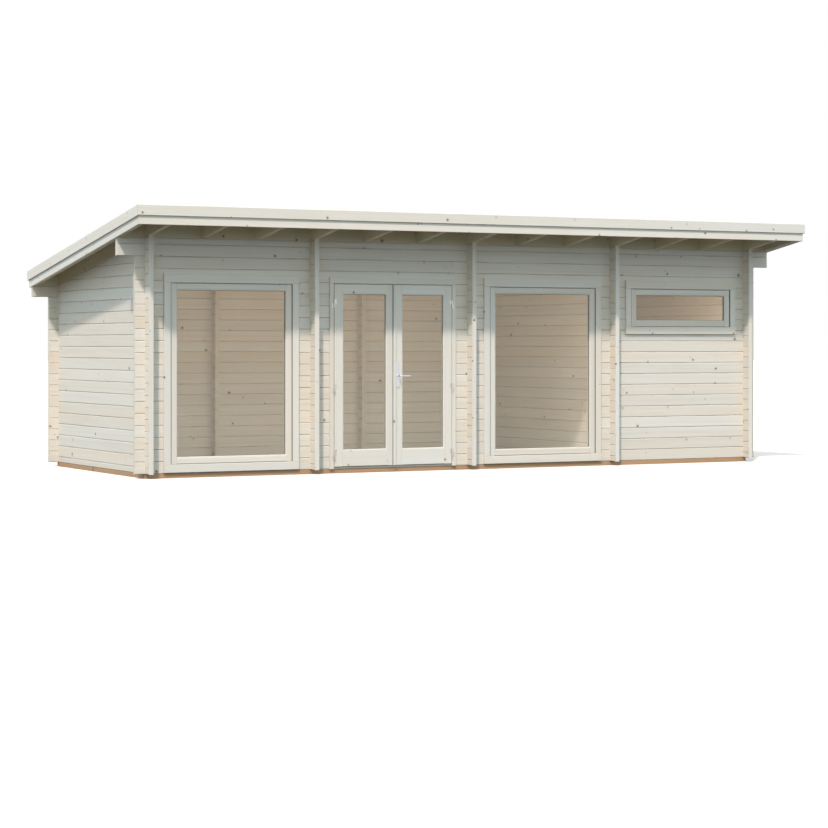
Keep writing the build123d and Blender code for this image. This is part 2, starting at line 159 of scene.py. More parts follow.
# Grain
TREE = 60.0  # length of the tree that boards are cut from
RING_SPACING = 0.0052
PITH_DEPTH = 0.045
KNOTLESS = 0.42  # share of the pattern's cells without a knot
KNOT_GROWTH = 0.021
KNOT_WOBBLE = 0.004
SWIRL = (0.004, 0.055)  # where the grain's turn round a knot begins and ends

# Stage
SENSOR = 36.0  # width in millimetres
FARTHEST = 500.0
FLOOR_REACH = 120.0
FLOOR_SEEN = (0.93, 0.82, 0.76)
FLOOR_MIRRORED = (0.56, 0.56, 0.56)
FLOOR_BOUNCED = (0.06, 0.058, 0.05)
WHITE = (1.0, 1.0, 1.0, 1.0)
SKY_COLOUR = (0.86, 1.0, 1.09, 1.0)
KEY_COLOUR = (1.0, 0.88, 0.84)
KEY_TRAVEL = (0.513, 0.607, -1.0)
KEY_SOFTNESS = math.radians(3.0)
ROOM_COLOUR = (1.0, 0.81, 0.64)
ROOM_LAMP_HEIGHT = 1.6
ROOM_LAMP_MIDDLE = 1.1
ROOM_LAMP_MARGIN = 0.1
ROOM_LAMP_SETBACK = 0.03


# Properties


def number(name, description, default, **kind):
    """Property of one number; kind gives its unit or subtype."""
    return bpy.props.FloatProperty(name=name, description=description, default=default, **kind)


def length(name, description, metres):
    """Property of a length."""
    return number(name, description, metres, unit="LENGTH")


def angle(name, description, degrees):
    """Property of an angle, given in degrees."""
    return number(name, description, math.radians(degrees), subtype="ANGLE")


def triple(name, description, default, subtype="COLOR"):
    """Property of three numbers, such as a colour."""
    return bpy.props.FloatVectorProperty(
        name=name, description=description, default=default, size=3, subtype=subtype
    )


class OfficeLogs(bpy.types.PropertyGroup):
    """Sizes of the wall logs."""

    log_height: length("Log height", "From one joint to the next", 0.114)
    joint_chamfer: length("Joint chamfer", "Half the width of the groove at a joint", 0.006)
    roof_slope: angle("Roof slope", "Fall of the roof to the back", 9.25)


class OfficeBoards(bpy.types.PropertyGroup):
    """Sizes of the boards."""

    floor_board: length("Floor board", "Cover width of a floor board", 0.087)
    roof_board: length("Roof board", "Cover width of a roof board", 0.088)
    board_gap: length("Board gap", "Joint between two boards", 0.0012)
    eased_edge: length("Eased edge", "Radius of a planed board's edges", 0.0025)
    joist_width: length("Joist width", "Width of the joists and rafters", 0.044)
    sole_width: length("Sole width", "Width of the beams under the walls", 0.070)
    rafters_in_a_field: bpy.props.IntProperty(
        name="Rafters in a field", description="Rafter spaces between two cross walls", default=3
    )


class OfficeJoinery(bpy.types.PropertyGroup):
    """Sizes of the windows and the door."""

    casing_gap: length("Casing gap", "Shadow gap round a sash", 0.004)
    # The dark strip in the casing gap is painted shade where the gap's shadow falls; this is its
    # setback behind the casing's face
    casing_gap_shade_setback: length(
        "Casing gap shade setback", "Dark strip of painted shade in the casing gap behind the casing's face", 0.003
    )
    sash_face: length("Sash face", "Width of a window sash's boards", 0.066)
    glass_rebate: length("Glass rebate", "Glass held behind the wood", 0.008)
    bead_width: length("Bead width", "Rounded bead that holds a pane", 0.009)
    bead_setback: length("Bead setback", "Bead behind the sash's face", 0.002)
    seal_width: length("Seal width", "Visible width of the glazing seal", 0.003)
    hinge_half_height: length("Hinge half height", "From a hinge's middle to its end", 0.042)
    hinge_flap: length("Hinge flap", "Thickness of a hinge's flaps", 0.0025)
    screw_line: length("Screw line", "From a hinge's pin to its screws", 0.016)
    jamb: length("Jamb", "Thickness of the door frame", 0.035)
    stop: length("Stop", "Width of the stops behind the leaves", 0.012)
    stop_depth: length("Stop depth", "Depth of the stops from the room", 0.015)


class OfficeFinish(bpy.types.PropertyGroup):
    """Colours of the finishes."""

    wood: triple("Wood", "Pale wood of the walls and joinery", (0.775, 0.75, 0.67))
    late_wood: triple("Late wood", "The darker lines of the grain", (0.655, 0.565, 0.44))
    knot: triple("Knot", "Heart of a knot", (0.10, 0.066, 0.042))
    treated: triple("Treated wood", "Ground frame", (0.54, 0.33, 0.18))
    felt: triple("Roofing felt", "Roof covering", (0.035, 0.036, 0.039))


class OfficeStage(bpy.types.PropertyGroup):
    """Camera and light."""

    camera_place: triple(
        "Camera place", "Where the camera stands", (-11.1725, -21.1015, 1.276), "TRANSLATION"
    )
    camera_turn: angle("Camera turn", "Turn to the right of straight on", 27.74)
    lens: number("Lens", "Focal length in millimetres", 98.94)
    shift: number("Shift", "Upright shift of the lens", -0.0855)
    sun_strength: number("Key strength", "Strength of the key light", 3.05)
    long_room_power: number("Long room light", "Soft light in the long room, in watts", 22.5)
    side_room_power: number("Side room light", "Soft light in the side room, in watts", 10.5)
    sky_strength: number("Sky strength", "Strength of the even light", 1.18)


def settings():
    """The property groups, as they hang on the scene."""
    return bpy.context.scene


def fall():
    """Fall of the roof for each metre to the back."""
    return math.tan(settings().office_logs.roof_slope)


def underside(y):
    """Height of the rafters' undersides: a straight fall from the front wall to the back."""
    return UNDERSIDE_FRONT - fall() * (y - FRONT_Y)


# Shader helpers


def sign(operation, reflected=False):
    """A method that joins a value and another; the other comes first in a reflected form."""

    def method(self, other):
        return self.join(operation, *((other, self) if reflected else (self, other)))

    return method


class Value:
    """A number socket that takes part in sums written with the usual signs."""

    def __init__(self, graph, socket):
        self.graph = graph
        self.socket = socket

    def join(self, operation, *terms):
        sockets = dict(enumerate(terms))
        made = self.graph.node("ShaderNodeMath", {"operation": operation}, sockets)
        return Value(self.graph, made.outputs[0])

    __add__, __radd__ = sign("ADD"), sign("ADD", reflected=True)
    __sub__, __rsub__ = sign("SUBTRACT"), sign("SUBTRACT", reflected=True)
    __mul__, __rmul__ = sign("MULTIPLY"), sign("MULTIPLY", reflected=True)
    __truediv__, __pow__ = sign("DIVIDE"), sign("POWER")
    largest, smallest = sign("MAXIMUM"), sign("MINIMUM")

    def sine(self):
        return self.join("SINE", self)

    def between(self, start, end):
        """0 at start, 1 at end, with a smooth step from one to the other."""
        made = self.graph.node(
            "ShaderNodeMapRange",
            {"interpolation_type": "SMOOTHSTEP"},
            {"Value": self, "From Min": start, "From Max": end, "To Min": 0.0, "To Max": 1.0},
        )
        return Value(self.graph, made.outputs[0])


class Graph:
    """A node tree in the making."""

    def __init__(self, tree):
        self.tree = tree
        tree.nodes.clear()

    def feed(self, node, inputs):
        """Sets or links sockets of a node, by name or number."""
        for name, given in inputs.items():
            given = given.socket if isinstance(given, Value) else given
            if isinstance(given, bpy.types.NodeSocket):
                self.tree.links.new(given, node.inputs[name])
            else:
                node.inputs[name].default_value = given

    def node(self, kind, choices=None, inputs=None):
        """A node of this type with its choices set first and then its sockets."""
        made = self.tree.nodes.new(kind)
        for name, choice in (choices or {}).items():
            setattr(made, name, choice)
        self.feed(made, inputs or {})
        return made

    def rays(self, *kinds):
        """For each of these kinds of rays, a value that is 1 for it and 0 for all others."""
        path = self.node("ShaderNodeLightPath")
        return [Value(self, path.outputs[f"Is {kind} Ray"]) for kind in kinds]

    def parts(self, socket):
        """The three numbers of a vector."""
        made = self.node("ShaderNodeSeparateXYZ", {}, {0: socket})
        return [Value(self, output) for output in made.outputs]

    def vector(self, x, y, z):
        """Three numbers as a vector."""
        return self.node("ShaderNodeCombineXYZ", {}, {0: x, 1: y, 2: z}).outputs[0]

    def attribute(self, name):
        """The three numbers of one of the piece's own attributes."""
        made = self.node("ShaderNodeAttribute", {"attribute_name": name})
        return self.parts(made.outputs["Vector"])

    def place(self):
        """The three object coordinates."""
        return self.parts(self.node("ShaderNodeTexCoord").outputs["Object"])

    def noise(self, vector, scale, detail=2.0, roughness=0.5):
        """Soft noise from 0 to 1."""
        made = self.node(
            "ShaderNodeTexNoise",
            {},
            {"Vector": vector, "Scale": scale, "Detail": detail, "Roughness": roughness},
        )
        return Value(self, made.outputs["Fac"])

    def mix(self, factor, *colours):
        """A colour between two others, given as sockets or as three numbers."""
        first, second = (
            (*colour, 1.0) if isinstance(colour, tuple) else colour for colour in colours
        )
        sockets = {0: factor, 6: first, 7: second}
        return self.node("ShaderNodeMix", {"data_type": "RGBA"}, sockets).outputs[2]


class Finish(Graph):
    """A material in the making, with the shader that makes its surface."""

    def __init__(self, name, shader="ShaderNodeBsdfPrincipled"):
        self.material = bpy.data.materials.new(name)
        self.material.use_nodes = True
        super().__init__(self.material.node_tree)
        self.surface = self.node(shader)
        self.node("ShaderNodeOutputMaterial", {}, {"Surface": self.surface.outputs[0]})

    def set(self, **inputs):
        """Sets or links sockets of the surface; underscores stand for spaces."""
        named = {name.replace("_", " "): given for name, given in inputs.items()}
        self.feed(self.surface, named)

    def bump(self, height, distance, strength):
        """Feeds a height in units of distance to the surface's normal."""
        sockets = {"Height": height, "Distance": distance, "Strength": strength}
        self.set(Normal=self.node("ShaderNodeBump", {}, sockets).outputs[0])


def tinted(colour, factor):
    """A colour made lighter or darker."""
    return tuple(part * factor for part in colour)


def channels(colour, factors):
    """A colour with each of its three parts multiplied by its own factor."""
    return tuple(part * factor for part, factor in zip(colour, factors))


def wood_finish(name, pale, late, knot, knots=1.0, contrast=1.0, roughness=0.62, spacing=3.0):
    """Planed softwood. The grain attribute runs along, across and through each board.

    Year rings are circles round a pith beside the board, r = sqrt(across^2 + through^2), that
    wander along its length. Knots are round cells of a Voronoi pattern in the board's wide
    face, spacing cells to the metre, and the rings bend round them. Tint gives each board's
    tone and hue, and says where its cut ends are; seam marks the edges that meet in a joint,
    whose shadow comes and goes along the board.
    """
    finish = Finish(name)
    along, across, through = finish.attribute("grain")
    tone, hue, cut = finish.attribute("tint")
    marked = finish.node("ShaderNodeAttribute", {"attribute_name": "seam"})
    seam = Value(finish, marked.outputs["Fac"])

    cells = finish.node(
        "ShaderNodeTexVoronoi",
        {"voronoi_dimensions": "2D", "feature": "F1"},
        {"Vector": finish.vector(along, across, 0.0), "Scale": spacing, "Randomness": 1.0},
    )
    metres = Value(finish, cells.outputs["Distance"]) / spacing
    chance, depth = finish.parts(cells.outputs["Color"])[:2]
    radius = (chance - KNOTLESS).largest(0.0) * (KNOT_GROWTH * knots)
    wobble = finish.noise(finish.vector(along, across, through), 60.0) * KNOT_WOBBLE
    distance = metres + wobble - KNOT_WOBBLE / 2
    heart = 1 - distance.between(radius * 0.75, radius * 1.1 + 0.0004)
    halo = 1 - distance.between(radius * 0.9, radius * 2.6 + 0.001)
    swirl = 1 - metres.between(*SWIRL)
    heart = heart * chance.between(KNOTLESS, 0.47)
    halo = halo * chance.between(KNOTLESS, 0.47)
    swirl = swirl * chance.between(KNOTLESS, 0.5)

    slow = finish.noise(finish.vector(along * 0.55, across * 3.0, hue * 7.0), 1.0)
    bent = across + swirl * 0.011 + (slow - 0.5) * 0.055
    pith = through - PITH_DEPTH - hue * 0.02
    offset = bent + tone * 0.035
    ring_radius = (offset * offset + pith * pith) ** 0.5
    rings = ((ring_radius * (TURN / RING_SPACING)).sine() * 0.5 + 0.5) ** 2.5
    fine = finish.vector(along * 4.0, across * 420.0, through * 420.0)
    fibres = finish.noise(fine, 1.0, 3.0, 0.6)
    broad = finish.vector(along * 1.1, bent * 26.0, through * 26.0)
    streaks = finish.noise(broad, 1.0, 3.0, 0.55)
    patches = finish.noise(finish.vector(along * 2.3, across * 9.0, hue * 5.0), 1.0)

    # Late wood: rings, fibres and streaks on the planed faces, and the rings on a cut end
    lines = rings * 0.34 + (fibres - 0.5) * 0.30 + (streaks - 0.42) * 0.95
    amount = (lines * contrast + cut * (rings * 0.45 + 0.22)).largest(0.0).smallest(1.0)
    colour = finish.mix(amount, pale, late)
    warmth = (patches - 0.35).largest(0.0) * 0.55
    colour = finish.mix(warmth, colour, tinted(late, 1.18))

    # Each board's own tint: cool at a hue of 1, rosy at -1, dull where its tone is low
    cool, rosy = channels(pale, (0.93, 0.985, 1.05)), channels(pale, (1.0, 0.90, 0.80))
    colour = finish.mix((hue * 0.5 + 0.5) * 0.30, colour, cool)
    colour = finish.mix((0.5 - hue * 0.5) * 0.34, colour, rosy)
    colour = finish.mix((0.10 - tone * 0.10).largest(0.0), colour, tinted(late, 0.82))

    strength = 0.30 + (depth ** 1.6) * 0.70
    colour = finish.mix(halo * strength * 0.6, colour, tinted(late, 0.62))
    colour = finish.mix(heart * strength * 0.92, colour, knot)
    gaping = finish.noise(finish.vector(along * 3.2, tone * 9.0, hue * 9.0), 1.0, 3.0, 0.6)
    shadow = (seam ** 1.3) * (0.12 + gaping.between(0.36, 0.60) * 0.42)
    finish.set(
        Base_Color=finish.mix(shadow, colour, tinted(late, 0.28)),
        Roughness=roughness + (fibres - 0.5) * 0.22 + cut * 0.1,
        Specular_IOR_Level=0.32,
    )
    finish.bump(rings * 0.35 + fibres * 0.9 - heart * 0.8 + cut * fibres, 0.00045, 0.7)
    return finish.material


def felt_finish(name, colour):
    """Mineral felt: dark bitumen with fine stone grains of several greys."""
    finish = Finish(name)
    x, y, z = finish.place()
    place = finish.vector(x, y, z)
    grains = finish.node(
        "ShaderNodeTexVoronoi",
        {"feature": "F1"},
        {"Vector": place, "Scale": 420.0, "Randomness": 1.0},
    )
    shade = finish.parts(grains.outputs["Color"])[0]
    cloud = finish.noise(place, 1.4, 4.0, 0.6)
    drift = finish.noise(finish.vector(x * 0.6, y * 3.0, z), 1.0, 3.0)
    grey = finish.mix(shade * 0.75, colour, tinted(colour, 3.1))
    dusty = finish.mix((cloud - 0.35).largest(0.0) * 0.5, grey, (0.16, 0.15, 0.135))
    worn = finish.mix((drift - 0.5).largest(0.0) * 0.5, dusty, tinted(colour, 0.7))
    finish.set(Base_Color=worn, Roughness=0.86 + shade * 0.1)
    finish.bump(Value(finish, grains.outputs["Distance"]) * -1.0 + shade * 0.6, 0.0009, 0.8)
    return finish.material


def metal_finish(name, colour, roughness, brushed):
    """Bare metal with fine lines along one direction and faint cloudy handling marks."""
    finish = Finish(name)
    x, y, z = finish.place()
    lines = finish.noise(finish.vector(x * 900.0, y * 900.0, z * 900.0 * brushed), 1.0)
    marks = finish.noise(finish.vector(x, y, z), 35.0, 4.0, 0.6)
    finish.set(
        Metallic=1.0,
        Base_Color=finish.mix(marks * 0.35, colour, tinted(colour, 0.78)),
        Roughness=roughness + (lines - 0.5) * 0.16 + (marks - 0.5) * 0.2,
    )
    finish.bump(lines, 0.00005, 0.5)
    return finish.material


def seal_finish(name, deep, bloomed):
    """Rubber seal with a faint bloom."""
    finish = Finish(name)
    x, y, z = finish.place()
    bloom = finish.noise(finish.vector(x, y, z), 40.0, 3.0)
    finish.set(Base_Color=finish.mix(bloom, deep, bloomed), Roughness=0.55 + bloom * 0.2)
    finish.bump(bloom, 0.0002, 0.4)
    return finish.material


def glass_finish(name):
    """Clear pane: the share mirrored is 0.04 + 0.96 (1 - cosine of the angle) to the fifth."""
    finish = Finish(name, "ShaderNodeMixShader")
    x, y, z = finish.place()
    film = finish.noise(finish.vector(x, y, z), 3.0, 3.0, 0.55)
    weight = finish.node("ShaderNodeLayerWeight", {}, {"Blend": 0.5})
    glance = Value(finish, weight.outputs["Facing"])
    mirrored = glance ** 5 * 0.96 + film * 0.03 + 0.04
    clear = finish.node("ShaderNodeBsdfTransparent", {}, {"Color": (0.955, 0.965, 0.955, 1.0)})
    shine = finish.node(
        "ShaderNodeBsdfGlossy", {}, {"Color": (0.96, 0.98, 1.0, 1.0), "Roughness": 0.02}
    )
    finish.feed(finish.surface, {0: mirrored, 1: clear.outputs[0], 2: shine.outputs[0]})
    return finish.material


finishes = {}


def finish_for(slot):
    """The material of a slot, made when it is first asked for."""
    if slot not in finishes:
        look = settings().office_finish
        pale, late, knot = tuple(look.wood), tuple(look.late_wood), tuple(look.knot)
        treated, dark = tuple(look.treated), tinted(look.treated, 0.6)
        light, dim = tinted(pale, 1.02), tinted(pale, 0.93)
        cream, dusk = channels(pale, (1.01, 1.035, 1.06)), channels(pale, (0.95, 0.91, 0.76))
        # A wood's numbers are its knots, contrast, roughness and cells of knots to the metre
        makers = {
            "log_wood": (wood_finish, "log wood", light, late, knot, 1.0, 1.2, 0.62, 3.4),
            "joinery_wood": (wood_finish, "joinery wood", light, late, knot, 0.75, 0.72, 0.5),
            "eaves_wood": (wood_finish, "eaves wood", cream, late, knot, 0.8, 0.85, 0.58, 5.4),
            "roof_wood": (wood_finish, "roof wood", dusk, tinted(late, 0.95), knot, 1.1, 1.2),
            "floor_wood": (wood_finish, "floor wood", dim, late, knot, 1.1, 1.2, 0.5),
            "treated_wood": (wood_finish, "treated wood", treated, dark, knot, 1.1, 1.0, 0.7),
            "roofing_felt": (felt_finish, "roofing felt", tuple(look.felt)),
            "glass": (glass_finish, "window glass"),
            "hinge_steel": (metal_finish, "zinc plated steel", (0.70, 0.68, 0.63), 0.5, 1.0),
            "handle_metal": (metal_finish, "satin aluminium", (0.74, 0.75, 0.76), 0.38, 0.05),
            "seal": (seal_finish, "glazing seal", (0.10, 0.10, 0.10), (0.17, 0.165, 0.155)),
            # Casing gap: a dark strip in a rubber finish that paints the gap's shade
            "casing_seal": (seal_finish, "casing seal", (0.20, 0.18, 0.15), (0.27, 0.24, 0.20)),
            "pale_seal": (seal_finish, "door seal", (0.42, 0.40, 0.36), (0.52, 0.50, 0.45)),
        }
        make, *given = makers[slot]
        finishes[slot] = make(*given)
    return finishes[slot]


def refinish(node, slot):
    """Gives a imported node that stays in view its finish."""
    materials = frame["nodes"][node].data.materials
    materials.clear()
    materials.append(finish_for(slot))


# Mesh helpers


def add_object(name, data):
    """A new object in the scene."""
    made = bpy.data.objects.new(name, data)
    bpy.context.scene.collection.objects.link(made)
    return made


def add_lamp(kind, name, **choices):
    """A new lamp with its choices set."""
    data = bpy.data.lights.new(name, kind)
    for choice, value in choices.items():
        setattr(data, choice, value)
    return add_object(name, data)


def around(middle, width):
    """Limits of a width about its middle."""
    return (middle - width / 2, middle + width / 2)


def inset(stretch, by):
    """Limits moved in by this much at both ends."""
    return (stretch[0] + by, stretch[1] - by)


def rounded_section(half_width, half_height, radius, steps):
    """Rounded rectangle as (N, 2) points: four quarter circles, each about its own centre."""
    turn = np.linspace(0, QUARTER, steps)
    quarters = np.arange(4)[:, None] * QUARTER
    angles = quarters + turn[None, :]
    corner = quarters + QUARTER / 2
    x = np.sign(np.cos(corner)) * (half_width - radius) + radius * np.cos(angles)
    z = np.sign(np.sin(corner)) * (half_height - radius) + radius * np.sin(angles)
    return np.stack([x.ravel(), z.ravel()], axis=1)


def circle_section(radius, steps):
    """Circle as (N, 2) points: radius times cosine and sine of evenly spaced angles."""
    angles = np.arange(steps) * TURN / steps
    return radius * np.stack([np.cos(angles), np.sin(angles)], axis=1)


def skin(many, about, closed=False):
    """Quads over many rings of points, about points to a ring; closed joins last to first."""
    ring, step = np.meshgrid(
        np.arange(many if closed else many - 1), np.arange(about), indexing="ij"
    )
    beyond, after = (ring + 1) % many, (step + 1) % about
    corners = [ring * about + step, ring * about + after]
    corners += [beyond * about + after, beyond * about + step]
    return np.stack(corners, axis=-1).reshape(-1, 4).tolist()


class Timber:
    """Collects swept solids as one mesh, with each board's grain kept as attributes."""

    def __init__(self, seed=0):
        self.random = np.random.default_rng(seed)
        self.points, self.faces, self.grain, self.tint, self.seam = [], [], [], [], []
        self.count = 0

    def character(self):
        """Random place along the tree, tone and hue of one board."""
        draw = self.random.uniform
        return (draw(0, TREE), draw(-1, 1), draw(-1, 1))

    def add(self, points, grain, tint, faces, seam=0.0):
        """Takes in points of one patch and its faces, counted from its own first point."""
        self.seam.append(np.broadcast_to(seam, points.shape[:-1]).ravel())
        for kept, given in ((self.points, points), (self.grain, grain), (self.tint, tint)):
            kept.append(given.reshape(-1, 3))
        self.faces += [[index + self.count for index in face] for face in faces]
        self.count += len(self.points[-1])

    def rings(self, rings, grain, character, seam=0.0):
        """Skins rings of points, (K, N, 3), with quads and a flat cap at each end."""
        place, tone, hue = character
        many, about = rings.shape[:2]
        grain = grain + np.array([place, 0.0, 0.0])
        tint = np.broadcast_to([tone, hue, 0.0], rings.shape)
        self.add(rings, grain, tint, skin(many, about), seam)
        cut = np.broadcast_to([tone, hue, 1.0], rings.shape)
        for end, order in ((0, slice(None, None, -1)), (-1, slice(None))):
            self.add(rings[end], grain[end], cut[end], [np.arange(about)[order].tolist()])

    def board(
        self, start, end, side, up, ease, character=None, trim=None, stops=(0.0, 1.0),
        steps=EDGE_STEPS, jointed=False,
    ):
        """Rectangle with eased edges carried along a straight line.

        A point is start + s (end - start) + u side + v up, with u and v from the section's
        outline in units of the half sizes; trim lowers what stands above the roof's plane. The
        edges that meet the next board in a joint are marked as its seam.
        """
        start, end, side, up = (np.asarray(given, float) for given in (start, end, side, up))
        half_side, half_up = np.linalg.norm(side), np.linalg.norm(up)
        if np.dot(np.cross(side, up), end - start) < 0:
            side = -side
        ease = min(ease, half_side * ROUNDEST, half_up * ROUNDEST)
        section = rounded_section(half_side, half_up, ease, steps)
        across = section[:, 0:1] * side / half_side + section[:, 1:2] * up / half_up
        along = np.asarray(stops)[:, None, None]
        rings = start + along * (end - start) + across[None]
        wide, thin = (1, 0) if half_up >= half_side else (0, 1)
        grain = np.empty(rings.shape)
        grain[..., 0] = along[..., 0] * np.linalg.norm(end - start)
        grain[..., 1] = section[:, wide]
        grain[..., 2] = section[:, thin]
        if trim is not None:
            rings[..., 2] = np.minimum(rings[..., 2], trim(rings[..., 1]))
        edge = np.abs(section[:, wide])
        seam = (edge > edge.max() - NEAR) * 1.0 if jointed else 0.0
        self.rings(rings, grain, character or self.character(), seam)

    def box(self, x, y, z, ease=None, way=None):
        """A board that fills these limits, its grain along the longest side or the given way."""
        ease = settings().office_boards.eased_edge if ease is None else ease
        given = np.array([x, y, z], float)
        middle, half = given.mean(axis=1), (given[:, 1] - given[:, 0]) / 2
        way = int(np.argmax(half)) if way is None else way
        thin, wide = sorted((axis for axis in range(3) if axis != way), key=half.__getitem__)
        axes = np.eye(3) * half[:, None]
        self.board(middle - axes[way], middle + axes[way], axes[thin], axes[wide], ease)

    def sweep(self, path, side, up, section, scale):
        """A section carried along points, (K, 3), with its side, up and size at each."""
        side, up = (np.broadcast_to(given, path.shape) for given in (side, up))
        across = section[None, :, 0:1] * side[:, None] + section[None, :, 1:2] * up[:, None]
        rings = path[:, None] + across * scale[:, None, None]
        self.rings(rings, rings - rings[:1, :1], self.character())

    def lathe(self, place, axis, profile, steps=TURNED_STEPS):
        """A turned part: circles of each radius at each height along an axis from a place."""
        axis = np.asarray(axis, float)
        side = np.cross(axis, [0.0, 0.0, 1.0] if abs(axis[Z]) < UPRIGHT else [1.0, 0.0, 0.0])
        side /= np.linalg.norm(side)
        profile = np.asarray(profile, float)
        path = np.asarray(place, float) + profile[:, 1:2] * axis
        self.sweep(path, side, np.cross(axis, side), circle_section(1.0, steps), profile[:, 0])

    def screw(self, place, axis, radius):
        """A screw head: a low dome with a round recess in its middle."""
        self.lathe(place, axis, np.array(SCREW_HEAD) * radius)

    def loop(self, x, z, profile):
        """A moulding round a rectangle that faces the front, with mitred corners.

        Each profile point is a depth (y) and a distance inside the rectangle; the four corners
        move in by that distance.
        """
        depth, inward = np.asarray(profile, float).T
        rings = np.empty((4, len(depth), 3))
        rings[..., 0] = np.array([x[0], x[1], x[1], x[0]])[:, None]
        rings[..., 0] += np.array([1, -1, -1, 1])[:, None] * inward
        rings[..., 1] = depth
        rings[..., 2] = np.array([z[0], z[0], z[1], z[1]])[:, None]
        rings[..., 2] += np.array([1, 1, -1, -1])[:, None] * inward
        self.add(rings, rings, np.zeros(rings.shape), skin(4, len(depth), closed=True))

    def piece(self, name, slot, body, replaced=(), finish=None, smooth=False):
        """The collected solids as one object that rides on a body."""
        mesh = bpy.data.meshes.new(name)
        mesh.from_pydata(np.concatenate(self.points).tolist(), [], self.faces)
        for label, kind, field, values in (
            ("grain", "FLOAT_VECTOR", "vector", self.grain),
            ("tint", "FLOAT_VECTOR", "vector", self.tint),
            ("seam", "FLOAT", "value", self.seam),
        ):
            layer = mesh.attributes.new(label, kind, "POINT")
            layer.data.foreach_set(field, np.concatenate(values).astype(np.float32).ravel())
        mesh.polygons.foreach_set("use_smooth", [smooth] * len(mesh.polygons))
        mesh.validate()
        shells = bmesh.new()
        shells.from_mesh(mesh)
        bmesh.ops.recalc_face_normals(shells, faces=shells.faces[:])
        shells.to_mesh(mesh)
        shells.free()
        mesh.update()
        made = add_object(name, mesh)
        made.data.materials.append(finish or finish_for(slot))
        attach(made, body)
        if replaced:
            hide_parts(*replaced)
        return made


# Walls


def joints(bottom, top, offset):
    """Limits of the courses between two heights, whose joints are offset by a share of a log."""
    height = settings().office_logs.log_height
    lines = LOG_ZERO + (np.arange(COURSES) + offset) * height
    inside = lines[(lines > bottom + height * SLIVER) & (lines < top - height * SLIVER)]
    edges = np.concatenate([[bottom], inside, [top]])
    return list(zip(edges[:-1], edges[1:]))


def log(timber, x, y, z, character, trim):
    """One log along X with a chamfer at each edge."""
    middle_y, middle_z = sum(y) / 2, sum(z) / 2
    timber.board(
        (x[0], middle_y, middle_z),
        (x[1], middle_y, middle_z),
        (0, (y[1] - y[0]) / 2, 0),
        (0, 0, (z[1] - z[0]) / 2),
        settings().office_logs.joint_chamfer,
        character,
        trim,
        jointed=True,
    )


def without(stretch, gap):
    """What is left of a stretch beside a gap."""
    parts = [(stretch[0], min(stretch[1], gap[0])), (max(stretch[0], gap[1]), stretch[1])]
    return [part for part in parts if part[1] - part[0] > SHORTEST_LOG]


def long_wall(timber, x, y, z, openings, trim):
    """Logs along X in courses, left out where an opening is, and cut where it ends inside one."""
    for bottom, top in joints(*z, 0.0):
        character = timber.character()
        stretches = [x]
        for open_x, open_z in openings:
            if top <= open_z[0] or bottom >= open_z[1]:
                continue
            stretches = [part for stretch in stretches for part in without(stretch, open_x)]
            for strip in ((bottom, min(top, open_z[0])), (max(bottom, open_z[1]), top)):
                if strip[1] - strip[0] > THINNEST_CUT:
                    log(timber, open_x, y, strip, character, trim)
        for index, stretch in enumerate(stretches):
            log(timber, stretch, y, (bottom, top), None if index else character, trim)


def cross_logs(timber, x, stretches, highest):
    """Logs along Y in half-offset courses; each stretch has its Y limits, lowest and highest.

    A log that meets the roof's plane is cut by it, and gets a ring of points where it does.
    """
    slope = fall()
    for bottom, top in joints(LOG_ZERO, highest, 0.5):
        place, tone, hue = timber.character()
        for (start, end), lowest, limit in stretches:
            base, crown = max(bottom, lowest), min(top, limit)
            meets = FRONT_Y + (UNDERSIDE_FRONT - crown) / slope
            last = min(end, FRONT_Y + (UNDERSIDE_FRONT - base - THINNEST_RUN) / slope)
            if crown - base < THINNEST_RUN or last - start < THINNEST_RUN:
                continue
            cut = [(meets - start) / (last - start)] if start < meets < last else []
            timber.board(
                (sum(x) / 2, start, (base + crown) / 2),
                (sum(x) / 2, last, (base + crown) / 2),
                ((x[1] - x[0]) / 2, 0, 0),
                (0, 0, (crown - base) / 2),
                settings().office_logs.joint_chamfer,
                (place + start, tone, hue),
                underside,
                [0.0, *cut, 1.0],
                jointed=True,
            )


def crossing_middles():
    """X of the middles of the two short crossings."""
    return inset(span("front_crossings", X), LOG_THICKNESS / 2)


def wall_middles():
    """X of the middles of all cross walls and crossings, from left to right."""
    walls = [low(node)[X] for node in ("left_wall", "partition_wall", "right_wall")]
    return sorted([*(left + LOG_THICKNESS / 2 for left in walls), *crossing_middles()])


def field_lines():
    """X of the rafters and joists: on every cross wall and evenly between."""
    lines = wall_middles()
    many = settings().office_boards.rafters_in_a_field
    fields = [np.linspace(*field, many, endpoint=False) for field in zip(lines, lines[1:])]
    return [*np.concatenate(fields), lines[-1]]


def strips(start, end, width, gap):
    """Even strips of about this width from start to end, with a gap between them."""
    many = max(1, round((end - start) / width))
    edges = np.linspace(start, end, many + 1)
    half = np.full(many + 1, gap / 2)
    half[0] = half[-1] = 0.0
    return list(zip(edges[:-1] + half[:-1], edges[1:] - half[1:]))


